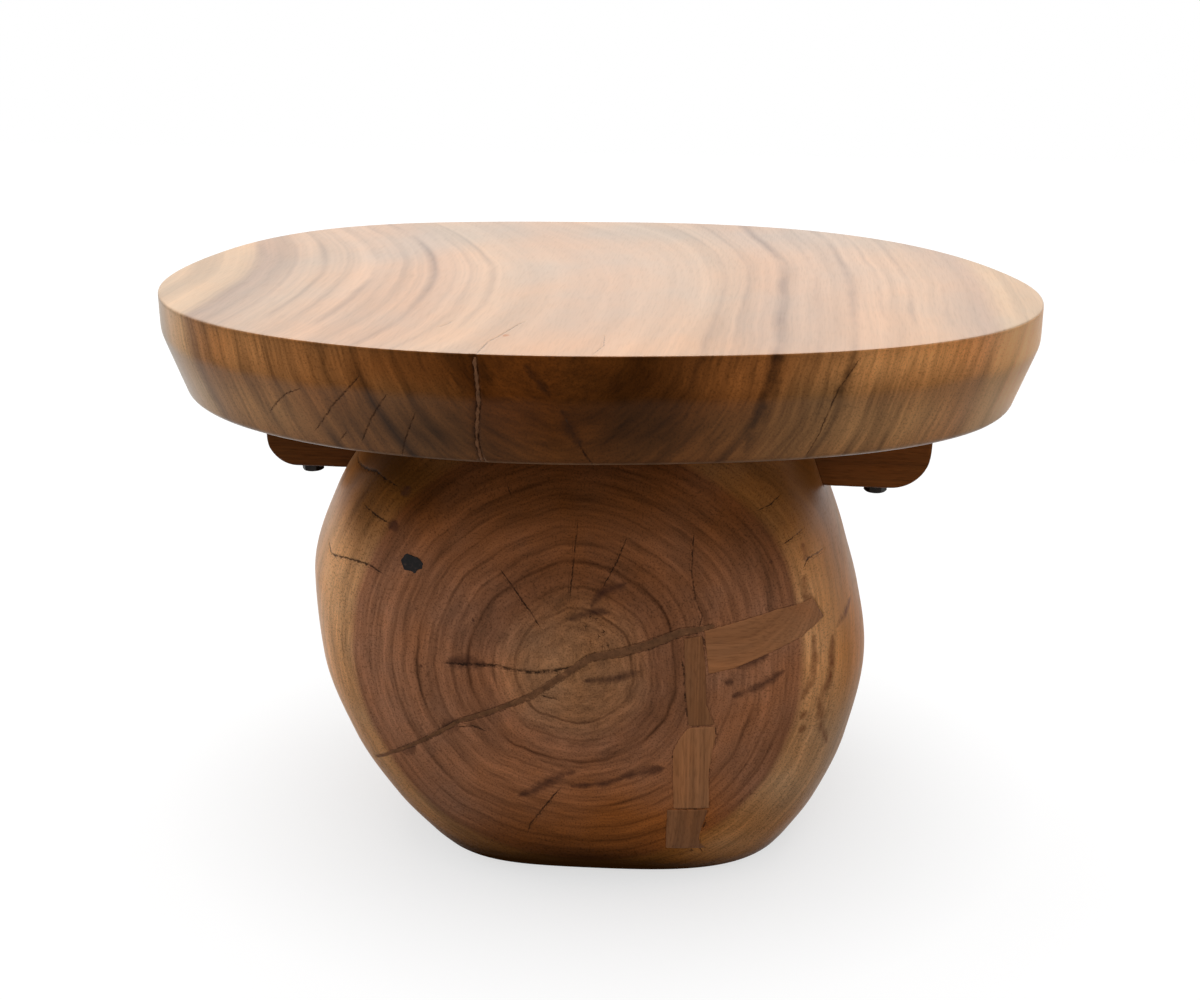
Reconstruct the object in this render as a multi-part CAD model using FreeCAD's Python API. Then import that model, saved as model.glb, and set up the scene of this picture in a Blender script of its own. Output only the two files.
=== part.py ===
"""Coffee table: an oval slab of tropical hardwood on a log slice that stands on its edge.

Millimetres, +Z up. The origin is on the floor under the middle of the slab. X runs along
the slab and its cross bearer, and the end grain that the viewer sees faces -Y.
"""
import FreeCAD, Part
import math
import os

# Overall sizes
table_height = 465.0
slab_length = 737.0
slab_width = 541.0
slab_thickness = 86.0
overrun = 30.0

# Slab rim: an upright band above, then a taper in to the underside
rim_band_height = 31.0
rim_top_round = 2.0
rim_foot_round = 6.0
rim_taper_at_front = 8.0
rim_taper_at_sides = 21.0

# Outline of the slab as radius shares of its oval, anticlockwise from +X
slab_radius_shares = [
    0.989, 0.967, 0.974, 1.002, 1.025, 1.021, 0.997, 1.002,
    1.047, 1.075, 1.045, 1.005, 0.998, 1.019, 1.044, 1.056,
    1.046, 1.021, 0.993, 0.984, 1.008, 1.036, 1.043, 1.021,
]

# Log foot: its middle, its turn about Z, and its half sizes at the widest
trunk_centre_x = 14.0
trunk_turn_degrees = 3.0
trunk_left_reach = 256.0
trunk_right_reach = 223.0
trunk_front_reach = 220.0
trunk_back_reach = 182.0
trunk_floor_gap = 4.0

# Shape of the log foot from the floor up, as shares of its height and of those half sizes
trunk_height_shares = [0.0, 0.04, 0.12, 0.25, 0.42, 0.60, 0.78, 1.0]
trunk_left_shares = [0.616, 0.667, 0.770, 0.892, 0.979, 1.000, 0.919, 0.663]
trunk_right_shares = [0.735, 0.777, 0.860, 0.948, 1.000, 0.933, 0.825, 0.696]
trunk_front_shares = [0.873, 0.923, 0.968, 0.995, 1.000, 0.964, 0.914, 0.868]
trunk_back_shares = [0.824, 0.885, 0.940, 0.984, 1.000, 0.967, 0.907, 0.852]
trunk_squareness = 3.35
trunk_outline_points = 32
trunk_sections = 14

# Cross bearer, let flush into the top of the log
bearer_length = 574.0
bearer_width = 100.0
bearer_depth = 78.0
bearer_left_round = 27.0
bearer_right_round = 34.0
bearer_edge_round = 3.0
housing_clearance = 0.3

# Coach screws, up through the bearer into the slab
coach_shank = 10.0
coach_head_across_flats = 17.0
coach_head_height = 7.0
coach_grip_in_slab = 42.0
coach_tip_length = 8.0
coach_washer_diameter = 21.0
coach_washer_thickness = 2.0
coach_span = 494.0
coach_span_middle = -5.0
coach_row_spacing = 52.0
screw_clearance = 0.3

# Lag screws, counterbored, down through the bearer into the log
lag_shank = 10.0
lag_head_across_flats = 17.0
lag_head_height = 7.0
lag_grip_in_trunk = 70.0
lag_tip_length = 8.0
lag_washer_diameter = 21.0
lag_washer_thickness = 2.0
lag_spacing = 190.0
counterbore_diameter = 26.0
counterbore_depth = 24.0

# Glides under the foot, each held by one nail
glide_diameter = 42.0
glide_spacing_along = 190.0
glide_front_reach = 128.0
glide_back_reach = 104.0
glide_edge_bevel = 0.8
nail_shank = 2.5
nail_head_diameter = 7.0
nail_head_thickness = 1.2
nail_head_sink = 0.6
nail_grip = 18.0
nail_clearance = 0.2

# How much deeper than its screw or nail a blind hole is
hole_spare_depth = 2.0

# Repairs set into the wood
inlay_clearance = 0.3
inlay_depth = 16.0
fillet_depth = 12.0

# Upright rim crack, filled. Over the rim its line is (share of the slab's length, share of its
# thickness up from the underside); on over the top face it is (share of length, share of width)
rim_crack_shares = [(-0.076, -0.07), (-0.0794, 0.198), (-0.0712, 0.395), (-0.0753, 0.547),
                    (-0.0719, 0.779), (-0.0746, 1.07)]
rim_crack_width = 7.0
top_crack_shares = [(-0.0719, -0.5176), (-0.0665, -0.4621), (-0.0617, -0.3993), (-0.057, -0.3364)]
top_crack_width = 3.0

# Slanting rim crack, filled
slanted_crack_shares = [(-0.0258, 0.86), (-0.0122, 0.674), (-0.0034, 0.523), (0.0102, 0.314),
                        (0.0197, 0.0), (0.0217, -0.093)]
slanted_crack_width = 4.0

# Repairs in the face of the log, in its own frame, as (share of its width, share of its height)
diagonal_crack_shares = [(-0.397, 0.232), (-0.353, 0.277), (-0.292, 0.331), (-0.23, 0.387),
                         (-0.167, 0.419), (-0.104, 0.456), (-0.044, 0.512), (-0.01, 0.541),
                         (0.04, 0.555), (0.088, 0.573), (0.138, 0.603), (0.171, 0.605)]
diagonal_crack_width = 5.0
wedge_shares = [(0.184, 0.597), (0.238, 0.619), (0.292, 0.632), (0.355, 0.637), (0.376, 0.592),
                (0.34, 0.568), (0.273, 0.549), (0.225, 0.525), (0.186, 0.512)]
strip_shares = [(0.144, 0.571), (0.173, 0.579), (0.18, 0.512), (0.182, 0.443), (0.196, 0.397),
                (0.154, 0.395), (0.148, 0.477), (0.144, 0.533)]
middle_patch_shares = [(0.15, 0.387), (0.196, 0.389), (0.194, 0.339), (0.188, 0.277),
                       (0.19, 0.195), (0.129, 0.197), (0.127, 0.339)]
foot_patch_shares = [(0.119, 0.187), (0.188, 0.184), (0.18, 0.141), (0.173, 0.096),
                     (0.186, 0.08), (0.117, 0.08)]
knot_centre_share = (-0.311, 0.72)
knot_width = 17.0
knot_height = 13.0

up = FreeCAD.Vector(0, 0, 1)
trunk_top = table_height - slab_thickness
trunk_height = trunk_top - trunk_floor_gap
trunk_width = trunk_left_reach + trunk_right_reach


def vector(x, y, z):
    return FreeCAD.Vector(x, y, z)


def smooth_ring(points):
    """A closed smooth curve through the points."""
    curve = Part.BSplineCurve()
    curve.interpolate(points, PeriodicFlag=True)
    return curve


def smooth_value(place, places, values):
    """A curve through the values that never swings beyond two neighbours."""
    gaps = [after - before for before, after in zip(places, places[1:])]
    rises = [(after - before) / gap for before, after, gap in zip(values, values[1:], gaps)]
    slopes = [rises[0]]
    for before, after in zip(rises, rises[1:]):
        slopes.append(2 * before * after / (before + after) if before * after > 0 else 0)
    slopes.append(rises[-1])
    index = 0
    while place > places[index + 1] and index < len(gaps) - 1:
        index += 1
    gap = gaps[index]
    t = (place - places[index]) / gap
    start = (1 + 2 * t) * (1 - t) ** 2 * values[index] + t * (1 - t) ** 2 * gap * slopes[index]
    end = t * t * (3 - 2 * t) * values[index + 1] + t * t * (t - 1) * gap * slopes[index + 1]
    return start + end


# Slab outline, brought to its exact length and width

def slab_outline_points():
    count = len(slab_radius_shares)
    raw = []
    for index, share in enumerate(slab_radius_shares):
        angle = 2 * math.pi * index / count
        raw.append(vector(share * math.cos(angle), share * math.sin(angle), 0))
    ring = smooth_ring(raw)
    along = ring.discretize(Number=50 * count)
    low_x = min(p.x for p in along)
    high_x = max(p.x for p in along)
    low_y = min(p.y for p in along)
    high_y = max(p.y for p in along)
    points = []
    for p in raw:
        x = slab_length * ((p.x - low_x) / (high_x - low_x) - 1 / 2)
        y = slab_width * ((p.y - low_y) / (high_y - low_y) - 1 / 2)
        points.append(vector(x, y, 0))
    return points


def slab_taper(angle):
    """How far the underside lies inside the band, at an angle round the slab."""
    return rim_taper_at_front + (rim_taper_at_sides - rim_taper_at_front) * math.cos(angle) ** 2


def slab_section(height, round_inset, taper_share, inset):
    points = []
    for p in slab_outline_points():
        reach = math.hypot(p.x, p.y)
        drawn_in = inset + round_inset + taper_share * slab_taper(math.atan2(p.y, p.x))
        scale = (reach - drawn_in) / reach
        points.append(vector(p.x * scale, p.y * scale, height))
    return Part.Wire(smooth_ring(points).toShape())


def slab_body(inset, top, bottom):
    """The slab drawn in by an inset, between two heights; without inset it has rounded arrises."""
    underside = trunk_top
    band_foot = table_height - rim_band_height
    if inset:
        levels = [(bottom, 0, 1), (band_foot, 0, 0), (top, 0, 0)]
    else:
        taper_height = band_foot - underside
        quarter = 1 - math.sqrt(1 / 2)
        levels = [
            (underside, rim_foot_round, 1),
            (underside + quarter * rim_foot_round, quarter * rim_foot_round, 1),
            (underside + rim_foot_round, 0, 1 - rim_foot_round / taper_height),
            (band_foot, 0, 0),
            (table_height - rim_top_round, 0, 0),
            (table_height - quarter * rim_top_round, quarter * rim_top_round, 0),
            (table_height, rim_top_round, 0),
        ]
    sections = [slab_section(height, rounding, share, inset) for height, rounding, share in levels]
    return Part.makeLoft(sections, True, True)


# Log foot, in its own frame: the middle of the log at the origin

def trunk_section(height_share, inset):
    def reach(full, shares):
        return full * smooth_value(height_share, trunk_height_shares, shares) - inset

    height = trunk_floor_gap + trunk_height * height_share
    left = reach(trunk_left_reach, trunk_left_shares)
    right = reach(trunk_right_reach, trunk_right_shares)
    front = reach(trunk_front_reach, trunk_front_shares)
    back = reach(trunk_back_reach, trunk_back_shares)
    power = 2 / trunk_squareness
    points = []
    for step in range(trunk_outline_points):
        angle = 2 * math.pi * step / trunk_outline_points
        across = math.cos(angle)
        deep = math.sin(angle)
        reach_x = right if across > 0 else left
        reach_y = back if deep > 0 else front
        x = math.copysign(abs(across) ** power, across) * reach_x
        y = math.copysign(abs(deep) ** power, deep) * reach_y
        points.append(vector(x, y, height))
    return Part.Wire(smooth_ring(points).toShape())


def trunk_body(inset):
    steps = trunk_sections - 1
    sections = [trunk_section(step / steps, inset) for step in range(trunk_sections)]
    return Part.makeLoft(sections, True, False)


def set_in_table(shape):
    """Moves a shape from the frame of the log to that of the table."""
    placed = shape.copy()
    placed.rotate(vector(0, 0, 0), up, trunk_turn_degrees)
    placed.translate(vector(trunk_centre_x, 0, 0))
    return placed


# Prisms that cut the pockets, and a little narrower that fill them

def shrunk(points, margin):
    """A polygon with each side moved inwards; the points run either way round."""
    area = 0
    count = len(points)
    for index in range(count):
        x0, z0 = points[index]
        x1, z1 = points[(index + 1) % count]
        area += x0 * z1 - x1 * z0
    turn = math.copysign(1, area)
    result = []
    for index in range(count):
        before = points[index - 1]
        here = points[index]
        after = points[(index + 1) % count]
        first = unit(here[0] - before[0], here[1] - before[1])
        second = unit(after[0] - here[0], after[1] - here[1])
        mid_x = -turn * (first[1] + second[1])
        mid_z = turn * (first[0] + second[0])
        square = mid_x * mid_x + mid_z * mid_z
        result.append((here[0] + 2 * margin * mid_x / square, here[1] + 2 * margin * mid_z / square))
    return result


def on_rim(shares):
    return [(x * slab_length, trunk_top + z * slab_thickness) for x, z in shares]


def on_top(shares):
    return [(x * slab_length, y * slab_width) for x, y in shares]


def on_log(shares):
    return [(x * trunk_width, trunk_floor_gap + z * trunk_height) for x, z in shares]


def unit(x, z):
    length = math.hypot(x, z)
    return x / length, z / length


def ribbon(line, width):
    """The outline of a band of even width along a line, as a polygon."""
    near = []
    far = []
    for index, (x, z) in enumerate(line):
        before = line[max(index - 1, 0)]
        after = line[min(index + 1, len(line) - 1)]
        along = unit(after[0] - before[0], after[1] - before[1])
        near.append((x - along[1] * width / 2, z + along[0] * width / 2))
        far.append((x + along[1] * width / 2, z - along[0] * width / 2))
    return near + far[::-1]


def prism_from_front(outline, front):
    """A prism with an (x, z) outline, from in front of the wood to its middle plane."""
    corners = [vector(x, -front - overrun, z) for x, z in outline]
    face = Part.Face(Part.makePolygon(corners + corners[:1]))
    return face.extrude(vector(0, front + overrun, 0))


def prism_from_above(outline, top, depth):
    corners = [vector(x, y, top + overrun) for x, y in outline]
    face = Part.Face(Part.makePolygon(corners + corners[:1]))
    return face.extrude(vector(0, 0, -depth - overrun))


def oval_prism_from_front(centre, width, height, front):
    ring = []
    sides = 12
    for index in range(sides):
        angle = 2 * math.pi * index / sides
        x = centre[0] + width / 2 * math.cos(angle)
        z = centre[1] + height / 2 * math.sin(angle)
        ring.append(vector(x, -front - overrun, z))
    face = Part.Face(Part.Wire(smooth_ring(ring).toShape()))
    return face.extrude(vector(0, front + overrun, 0))


# Fasteners and glides

def hexagon(across_flats, height):
    """A bolt head: a hexagonal prism with the usual 30 degree crown on its upper end."""
    corners = []
    for index in range(6):
        angle = math.pi / 3 * index
        radius = across_flats / math.sqrt(3)
        corners.append(vector(radius * math.cos(angle), radius * math.sin(angle), 0))
    face = Part.Face(Part.makePolygon(corners + corners[:1]))
    crown = Part.makeCone(across_flats / 2 + height * math.sqrt(3), across_flats / 2, height)
    return face.extrude(vector(0, 0, height)).common(crown)


def wood_screw(shank, grip, tip, across_flats, head_height):
    """A screw that points up from its head, whose underside lies at the origin."""
    tip_end = shank / 4
    body = Part.makeCylinder(shank / 2, grip - tip)
    point = Part.makeCone(shank / 2, tip_end / 2, tip)
    point.translate(vector(0, 0, grip - tip))
    head = hexagon(across_flats, head_height)
    head.rotate(vector(0, 0, 0), vector(1, 0, 0), 180)
    return head.fuse(body).fuse(point).removeSplitter()


def washer(diameter, bore, thickness):
    return Part.makeCylinder(diameter / 2, thickness).cut(Part.makeCylinder(bore / 2, thickness))


def moved(shape, x, y, z):
    placed = shape.copy()
    placed.translate(vector(x, y, z))
    return placed


def upside_down(shape):
    placed = shape.copy()
    placed.rotate(vector(0, 0, 0), vector(1, 0, 0), 180)
    return placed


# Places of the fasteners

def coach_places():
    for side in (-1, 1):
        for row in (-1, 1):
            yield coach_span_middle + side * coach_span / 2, row * coach_row_spacing / 2


def lag_places():
    for side in (-1, 1):
        yield side * lag_spacing / 2, 0


def glide_places():
    for side in (-1, 1):
        yield side * glide_spacing_along / 2, -glide_front_reach
        yield side * glide_spacing_along / 2, glide_back_reach


def drilled(diameter, depth, x, y, z):
    """A hole's tool, from a place upwards."""
    return moved(Part.makeCylinder(diameter / 2, depth), x, y, z)


# The slab and what fills its cracks

def rim_core(depth):
    """What a groove of some depth in the rim leaves standing."""
    return slab_body(depth, table_height + overrun, trunk_top - overrun)


def rim_crack_tool(margin, depth):
    outline = ribbon(on_rim(rim_crack_shares), rim_crack_width - 2 * margin)
    over_rim = prism_from_front(outline, slab_width / 2).cut(rim_core(depth))
    outline = ribbon(on_top(top_crack_shares), top_crack_width - 2 * margin)
    return over_rim.fuse(prism_from_above(outline, table_height, depth))


def slanted_crack_tool(margin, depth):
    outline = shrunk(ribbon(on_rim(slanted_crack_shares), slanted_crack_width), margin)
    return prism_from_front(outline, slab_width / 2).cut(rim_core(depth))


def make_slab():
    full = slab_body(0, table_height, trunk_top)
    slab = full
    fillets = {}
    shallow = fillet_depth - inlay_clearance
    for name, tool in (("rim_crack_fillet", rim_crack_tool), ("slanted_rim_fillet", slanted_crack_tool)):
        slab = slab.cut(tool(0, fillet_depth))
        fillets[name] = full.common(tool(inlay_clearance, shallow))
    for x, y in coach_places():
        bore = coach_shank + 2 * screw_clearance
        slab = slab.cut(drilled(bore, coach_grip_in_slab + hole_spare_depth, x, y, trunk_top))
    return slab, fillets


# The log foot and what is let into its face

def log_outlines(margin):
    """Every repair of the log's face, as a prism; a margin makes it narrower all round."""
    outlines = {
        "diagonal_crack_fillet": ribbon(on_log(diagonal_crack_shares), diagonal_crack_width),
        "wedge_inlay": on_log(wedge_shares),
        "upright_strip_inlay": on_log(strip_shares),
        "middle_patch_inlay": on_log(middle_patch_shares),
        "foot_patch_inlay": on_log(foot_patch_shares),
    }
    prisms = {}
    for name, outline in outlines.items():
        prisms[name] = prism_from_front(shrunk(outline, margin), trunk_front_reach)
    prisms["knot_plug"] = oval_prism_from_front(
        on_log([knot_centre_share])[0], knot_width - 2 * margin, knot_height - 2 * margin, trunk_front_reach)
    return prisms


def make_log():
    full = trunk_body(0)
    core = trunk_body(inlay_depth)
    shallow_core = trunk_body(inlay_depth - inlay_clearance)
    log = full
    for prism in log_outlines(0).values():
        log = log.cut(prism.cut(core))
    inlays = {}
    for name, prism in log_outlines(inlay_clearance).items():
        inlays[name] = set_in_table(full.common(prism.cut(shallow_core)))
    for x, y in glide_places():
        bore = nail_shank + 2 * nail_clearance
        log = log.cut(drilled(bore, nail_grip + hole_spare_depth, x, y, trunk_floor_gap))
    log = set_in_table(log)
    housing_width = bearer_width + 2 * housing_clearance
    housing = moved(Part.makeBox(2 * trunk_width, housing_width, bearer_depth + overrun),
                    -trunk_width, -housing_width / 2, trunk_top - bearer_depth)
    log = log.cut(housing)
    for x, y in lag_places():
        bore = lag_shank + 2 * screw_clearance
        depth = lag_grip_in_trunk + hole_spare_depth
        log = log.cut(drilled(bore, depth, x, y, trunk_top - bearer_depth - depth))
    return log, inlays


# The cross bearer

def make_bearer():
    top = trunk_top
    foot = trunk_top - bearer_depth
    half = bearer_length / 2
    front = -bearer_width / 2
    slant = math.sqrt(1 / 2)

    def at(x, z):
        return vector(x, front, z)

    right_middle = at(half - bearer_right_round * (1 - slant), foot + bearer_right_round * (1 - slant))
    left_middle = at(-half + bearer_left_round * (1 - slant), foot + bearer_left_round * (1 - slant))
    edges = [
        Part.makeLine(at(-half, top), at(half, top)),
        Part.makeLine(at(half, top), at(half, foot + bearer_right_round)),
        Part.Arc(at(half, foot + bearer_right_round), right_middle,
                 at(half - bearer_right_round, foot)).toShape(),
        Part.makeLine(at(half - bearer_right_round, foot), at(-half + bearer_left_round, foot)),
        Part.Arc(at(-half + bearer_left_round, foot), left_middle,
                 at(-half, foot + bearer_left_round)).toShape(),
        Part.makeLine(at(-half, foot + bearer_left_round), at(-half, top)),
    ]
    bearer = Part.Face(Part.Wire(edges)).extrude(vector(0, bearer_width, 0))
    eased = []
    for edge in bearer.Edges:
        middle = edge.CenterOfMass
        if abs(abs(middle.y) + front) < bearer_edge_round and middle.z < top - bearer_edge_round:
            eased.append(edge)
    bearer = bearer.makeFillet(bearer_edge_round, eased)
    for x, y in coach_places():
        bore = coach_shank + 2 * screw_clearance
        bearer = bearer.cut(drilled(bore, bearer_depth, x, y, foot))
    for x, y in lag_places():
        bore = lag_shank + 2 * screw_clearance
        bearer = bearer.cut(drilled(bore, bearer_depth, x, y, foot))
        bearer = bearer.cut(drilled(counterbore_diameter, counterbore_depth, x, y, top - counterbore_depth))
    return bearer


# Screws, washers, glides and nails, each group of like pieces in one node

def make_coach_fasteners():
    grip = coach_washer_thickness + bearer_depth + coach_grip_in_slab
    screw = wood_screw(coach_shank, grip, coach_tip_length, coach_head_across_flats, coach_head_height)
    ring = washer(coach_washer_diameter, coach_shank + 2 * screw_clearance, coach_washer_thickness)
    seat = trunk_top - bearer_depth - coach_washer_thickness
    screws = [moved(screw, x, y, seat) for x, y in coach_places()]
    washers = [moved(ring, x, y, seat) for x, y in coach_places()]
    return Part.makeCompound(screws), Part.makeCompound(washers)


def make_lag_fasteners():
    through = bearer_depth - counterbore_depth
    grip = lag_washer_thickness + through + lag_grip_in_trunk
    screw = upside_down(
        wood_screw(lag_shank, grip, lag_tip_length, lag_head_across_flats, lag_head_height))
    ring = washer(lag_washer_diameter, lag_shank + 2 * screw_clearance, lag_washer_thickness)
    seat = trunk_top - counterbore_depth
    screws = [moved(screw, x, y, seat + lag_washer_thickness) for x, y in lag_places()]
    washers = [moved(ring, x, y, seat) for x, y in lag_places()]
    return Part.makeCompound(screws), Part.makeCompound(washers)


def make_glides():
    disc = Part.makeCylinder(glide_diameter / 2, trunk_floor_gap)
    rim = [edge for edge in disc.Edges if edge.BoundBox.ZMax < trunk_floor_gap / 2]
    disc = disc.makeChamfer(glide_edge_bevel, rim)
    recess = nail_head_sink + nail_head_thickness
    disc = disc.cut(Part.makeCylinder(nail_head_diameter / 2 + nail_clearance, recess))
    disc = disc.cut(Part.makeCylinder(nail_shank / 2 + nail_clearance, trunk_floor_gap))
    nail = Part.makeCylinder(nail_head_diameter / 2, nail_head_thickness)
    shaft = trunk_floor_gap - recess + nail_grip
    nail = nail.fuse(moved(Part.makeCylinder(nail_shank / 2, shaft), 0, 0, nail_head_thickness))
    nail = nail.removeSplitter()
    glides = [set_in_table(moved(disc, x, y, 0)) for x, y in glide_places()]
    nails = [set_in_table(moved(nail, x, y, nail_head_sink)) for x, y in glide_places()]
    return Part.makeCompound(glides), Part.makeCompound(nails)


def make_all():
    pieces = {}
    pieces["table_top"], fillets = make_slab()
    pieces["trunk_base"], inlays = make_log()
    pieces["cross_bearer"] = make_bearer()
    pieces["bearer_coach_screws"], pieces["bearer_washers"] = make_coach_fasteners()
    pieces["trunk_lag_screws"], pieces["trunk_lag_washers"] = make_lag_fasteners()
    pieces["foot_glides"], pieces["glide_nails"] = make_glides()
    pieces.update(fillets)
    pieces.update(inlays)
    return pieces


os.makedirs("parts", exist_ok=True)
for node, shape in make_all().items():
    shape.exportStep("parts/" + node + ".step")
    print(node, "solids", len(shape.Solids), "volume", round(shape.Volume), "valid", shape.isValid())
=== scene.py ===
import math

import bmesh
import bpy
import numpy as np
from bpy.props import FloatProperty, FloatVectorProperty, PointerProperty
from mathutils import Matrix, Vector, noise


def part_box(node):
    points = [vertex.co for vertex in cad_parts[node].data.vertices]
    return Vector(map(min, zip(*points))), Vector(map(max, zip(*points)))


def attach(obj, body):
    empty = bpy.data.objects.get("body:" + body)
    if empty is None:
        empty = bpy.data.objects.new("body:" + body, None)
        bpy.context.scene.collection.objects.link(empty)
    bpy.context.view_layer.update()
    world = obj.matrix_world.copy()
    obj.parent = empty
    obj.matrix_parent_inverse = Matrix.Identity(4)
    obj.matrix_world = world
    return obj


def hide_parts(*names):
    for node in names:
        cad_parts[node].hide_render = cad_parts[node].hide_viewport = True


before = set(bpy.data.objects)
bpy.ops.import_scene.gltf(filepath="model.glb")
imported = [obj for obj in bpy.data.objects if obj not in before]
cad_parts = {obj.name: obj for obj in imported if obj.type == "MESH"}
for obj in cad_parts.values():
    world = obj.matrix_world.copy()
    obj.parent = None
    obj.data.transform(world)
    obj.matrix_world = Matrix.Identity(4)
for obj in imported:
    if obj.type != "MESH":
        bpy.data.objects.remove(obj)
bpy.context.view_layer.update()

bl_info = {
    "name": "Hardwood coffee table",
    "version": (1, 0, 0),
    "blender": (4, 5, 0),
    "location": "3D View > Sidebar > Coffee table",
    "description": "An oval slab of tropical hardwood on a log slice that stands on its edge",
    "category": "Object",
}

# Metres, +Z up, origin on the floor under the middle of the slab. The end grain that the
# viewer sees faces -Y. Outlines and cracks are listed in millimetres.
MM = 0.001

# Outline of the slab as radius shares of its oval, anticlockwise from +X
SLAB_RADIUS_SHARES = (
    0.989, 0.967, 0.974, 1.002, 1.025, 1.021, 0.997, 1.002,
    1.047, 1.075, 1.045, 1.005, 0.998, 1.019, 1.044, 1.056,
    1.046, 1.021, 0.993, 0.984, 1.008, 1.036, 1.043, 1.021,
)

# Shape of the log from the floor up, as shares of its height and of its half sizes
LOG_HEIGHT_SHARES = (0.0, 0.04, 0.12, 0.25, 0.42, 0.60, 0.78, 1.0)
LOG_LEFT_SHARES = (0.616, 0.667, 0.770, 0.892, 0.979, 1.000, 0.919, 0.663)
LOG_RIGHT_SHARES = (0.735, 0.777, 0.860, 0.948, 1.000, 0.933, 0.825, 0.696)
LOG_FRONT_SHARES = (0.873, 0.923, 0.968, 0.995, 1.000, 0.964, 0.914, 0.868)
LOG_BACK_SHARES = (0.824, 0.885, 0.940, 0.984, 1.000, 0.967, 0.907, 0.852)

# Fine open cracks of the log's face, (x, z) in its own frame, each with its half width
LOG_CRACKS = (
    (0.9, ((-213, 326), (-184, 334), (-163, 330))),
    (0.7, ((-193, 309), (-170, 302))),
    (0.9, ((-228, 268), (-224, 262), (-206, 266), (-194, 267), (-184, 266), (-174, 262))),
    (0.5, ((-16, 315), (-19, 284), (-22, 252))),
    (0.6, ((-77, 275), (-67, 262), (-54, 244), (-45, 230))),
    (0.45, ((-71, 341), (-68, 332))),
    (0.55, ((22, 302), (15, 284), (4, 263))),
    (0.7, ((-30, 92), (-43, 74), (-55, 56), (-57, 48))),
    (1.2, ((-122, 197), (-92, 198), (-80, 198), (-63, 195), (-49, 194), (-34, 196), (-20, 199))),
    (0.65, ((74, 305), (73, 275), (76, 258), (77, 252), (82, 242), (80, 233))),
    (0.8, ((82, 225), (89, 215), (91, 203))),
    (0.6, ((124, 320), (133, 322), (141, 327))),
    (0.6, ((145, 290), (160, 295))),
    (0.7, ((162, 268), (165, 273), (179, 272))),
    (0.8, ((-45, 175), (-31, 172))),
    (0.8, ((-112, 143), (-99, 145), (-89, 141))),
    (0.7, ((83, 63), (83, 53), (81, 40), (86, 30))),
)

# Ragged black openings along the joints of the let-in blocks
LOG_JOINT_HOLES = (
    (1.0, ((67, 206), (69, 197), (69, 190), (70, 182))),
    (1.7, ((69, 190), (71, 176), (72, 165), (74, 153))),
    (0.9, ((94, 150), (95, 143), (93, 135))),
    (1.1, ((62, 131), (61, 122))),
    (1.3, ((77, 34), (77, 31))),
    (0.9, ((86, 68), (88, 62), (86, 56))),
    (0.7, ((90, 114), (91, 108))),
    (0.9, ((82, 224), (86, 216), (88, 209))),
    (0.7, ((88, 198), (100, 199))),
    (0.8, ((74, 152), (84, 152))),
    (0.7, ((64, 76), (88, 76))),
)

# Soft dark smudges of the log's face, each with its half width
LOG_SMUDGES = (
    (4.2, ((-119, 198), (-105, 199), (-89, 199))),
    (2.8, ((-9, 188), (12, 190), (34, 197))),
    (2.8, ((-22, 237), (0, 245), (9, 243))),
    (3.0, ((-5, 248), (0, 257), (9, 262), (22, 267))),
    (4.5, ((-124, 140), (-112, 148))),
    (3.5, ((-63, 84), (-52, 89), (-43, 96), (-27, 106), (-18, 108))),
    (2.2, ((-21, 95), (-6, 97), (8, 99), (22, 104))),
    (3.5, ((20, 105), (34, 109), (54, 114))),
    (3.0, ((108, 176), (128, 183), (148, 193))),
    (2.5, ((101, 188), (107, 188))),
    (3.0, ((110, 200), (121, 203), (134, 207))),
    (2.0, ((135, 278), (135, 280))),
    (2.0, ((-99, 234), (-98, 233))),
    (2.0, ((-110, 227), (-109, 226))),
    (2.0, ((-146, 239), (-145, 238))),
    (2.0, ((-142, 193), (-141, 192))),
    (3.5, ((-168, 298), (-162, 304))),
    (3.5, ((-158, 325), (-151, 332))),
    (4.0, ((-160, 110), (-150, 118))),
)

# Reddish bark that the tree grew over, near the right edge of the log's face
LOG_BARK_MARKS = (
    (3.0, ((171, 214), (172, 196), (171, 181), (163, 166))),
    (2.6, ((167, 155), (162, 149))),
    (2.6, ((166, 142), (162, 136))),
    (3.2, ((187, 208), (187, 190), (186, 175), (178, 163), (178, 151), (181, 132), (186, 115))),
    (2.8, ((162, 262), (163, 247), (169, 240), (175, 226))),
    (2.8, ((204, 220), (198, 216), (191, 212))),
    (2.8, ((160, 285), (165, 272))),
)

# Wormholes near the heart: places, radius and depth of the dent
LOG_WORMHOLES = (
    (-6, 240), (-1, 238), (3, 233), (5, 228), (6, 220),
    (4, 216), (-5, 220), (9, 217), (-9, 232), (1, 224),
)
WORMHOLE_RADIUS = 1.5
WORMHOLE_DEPTH = 1.2

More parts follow.
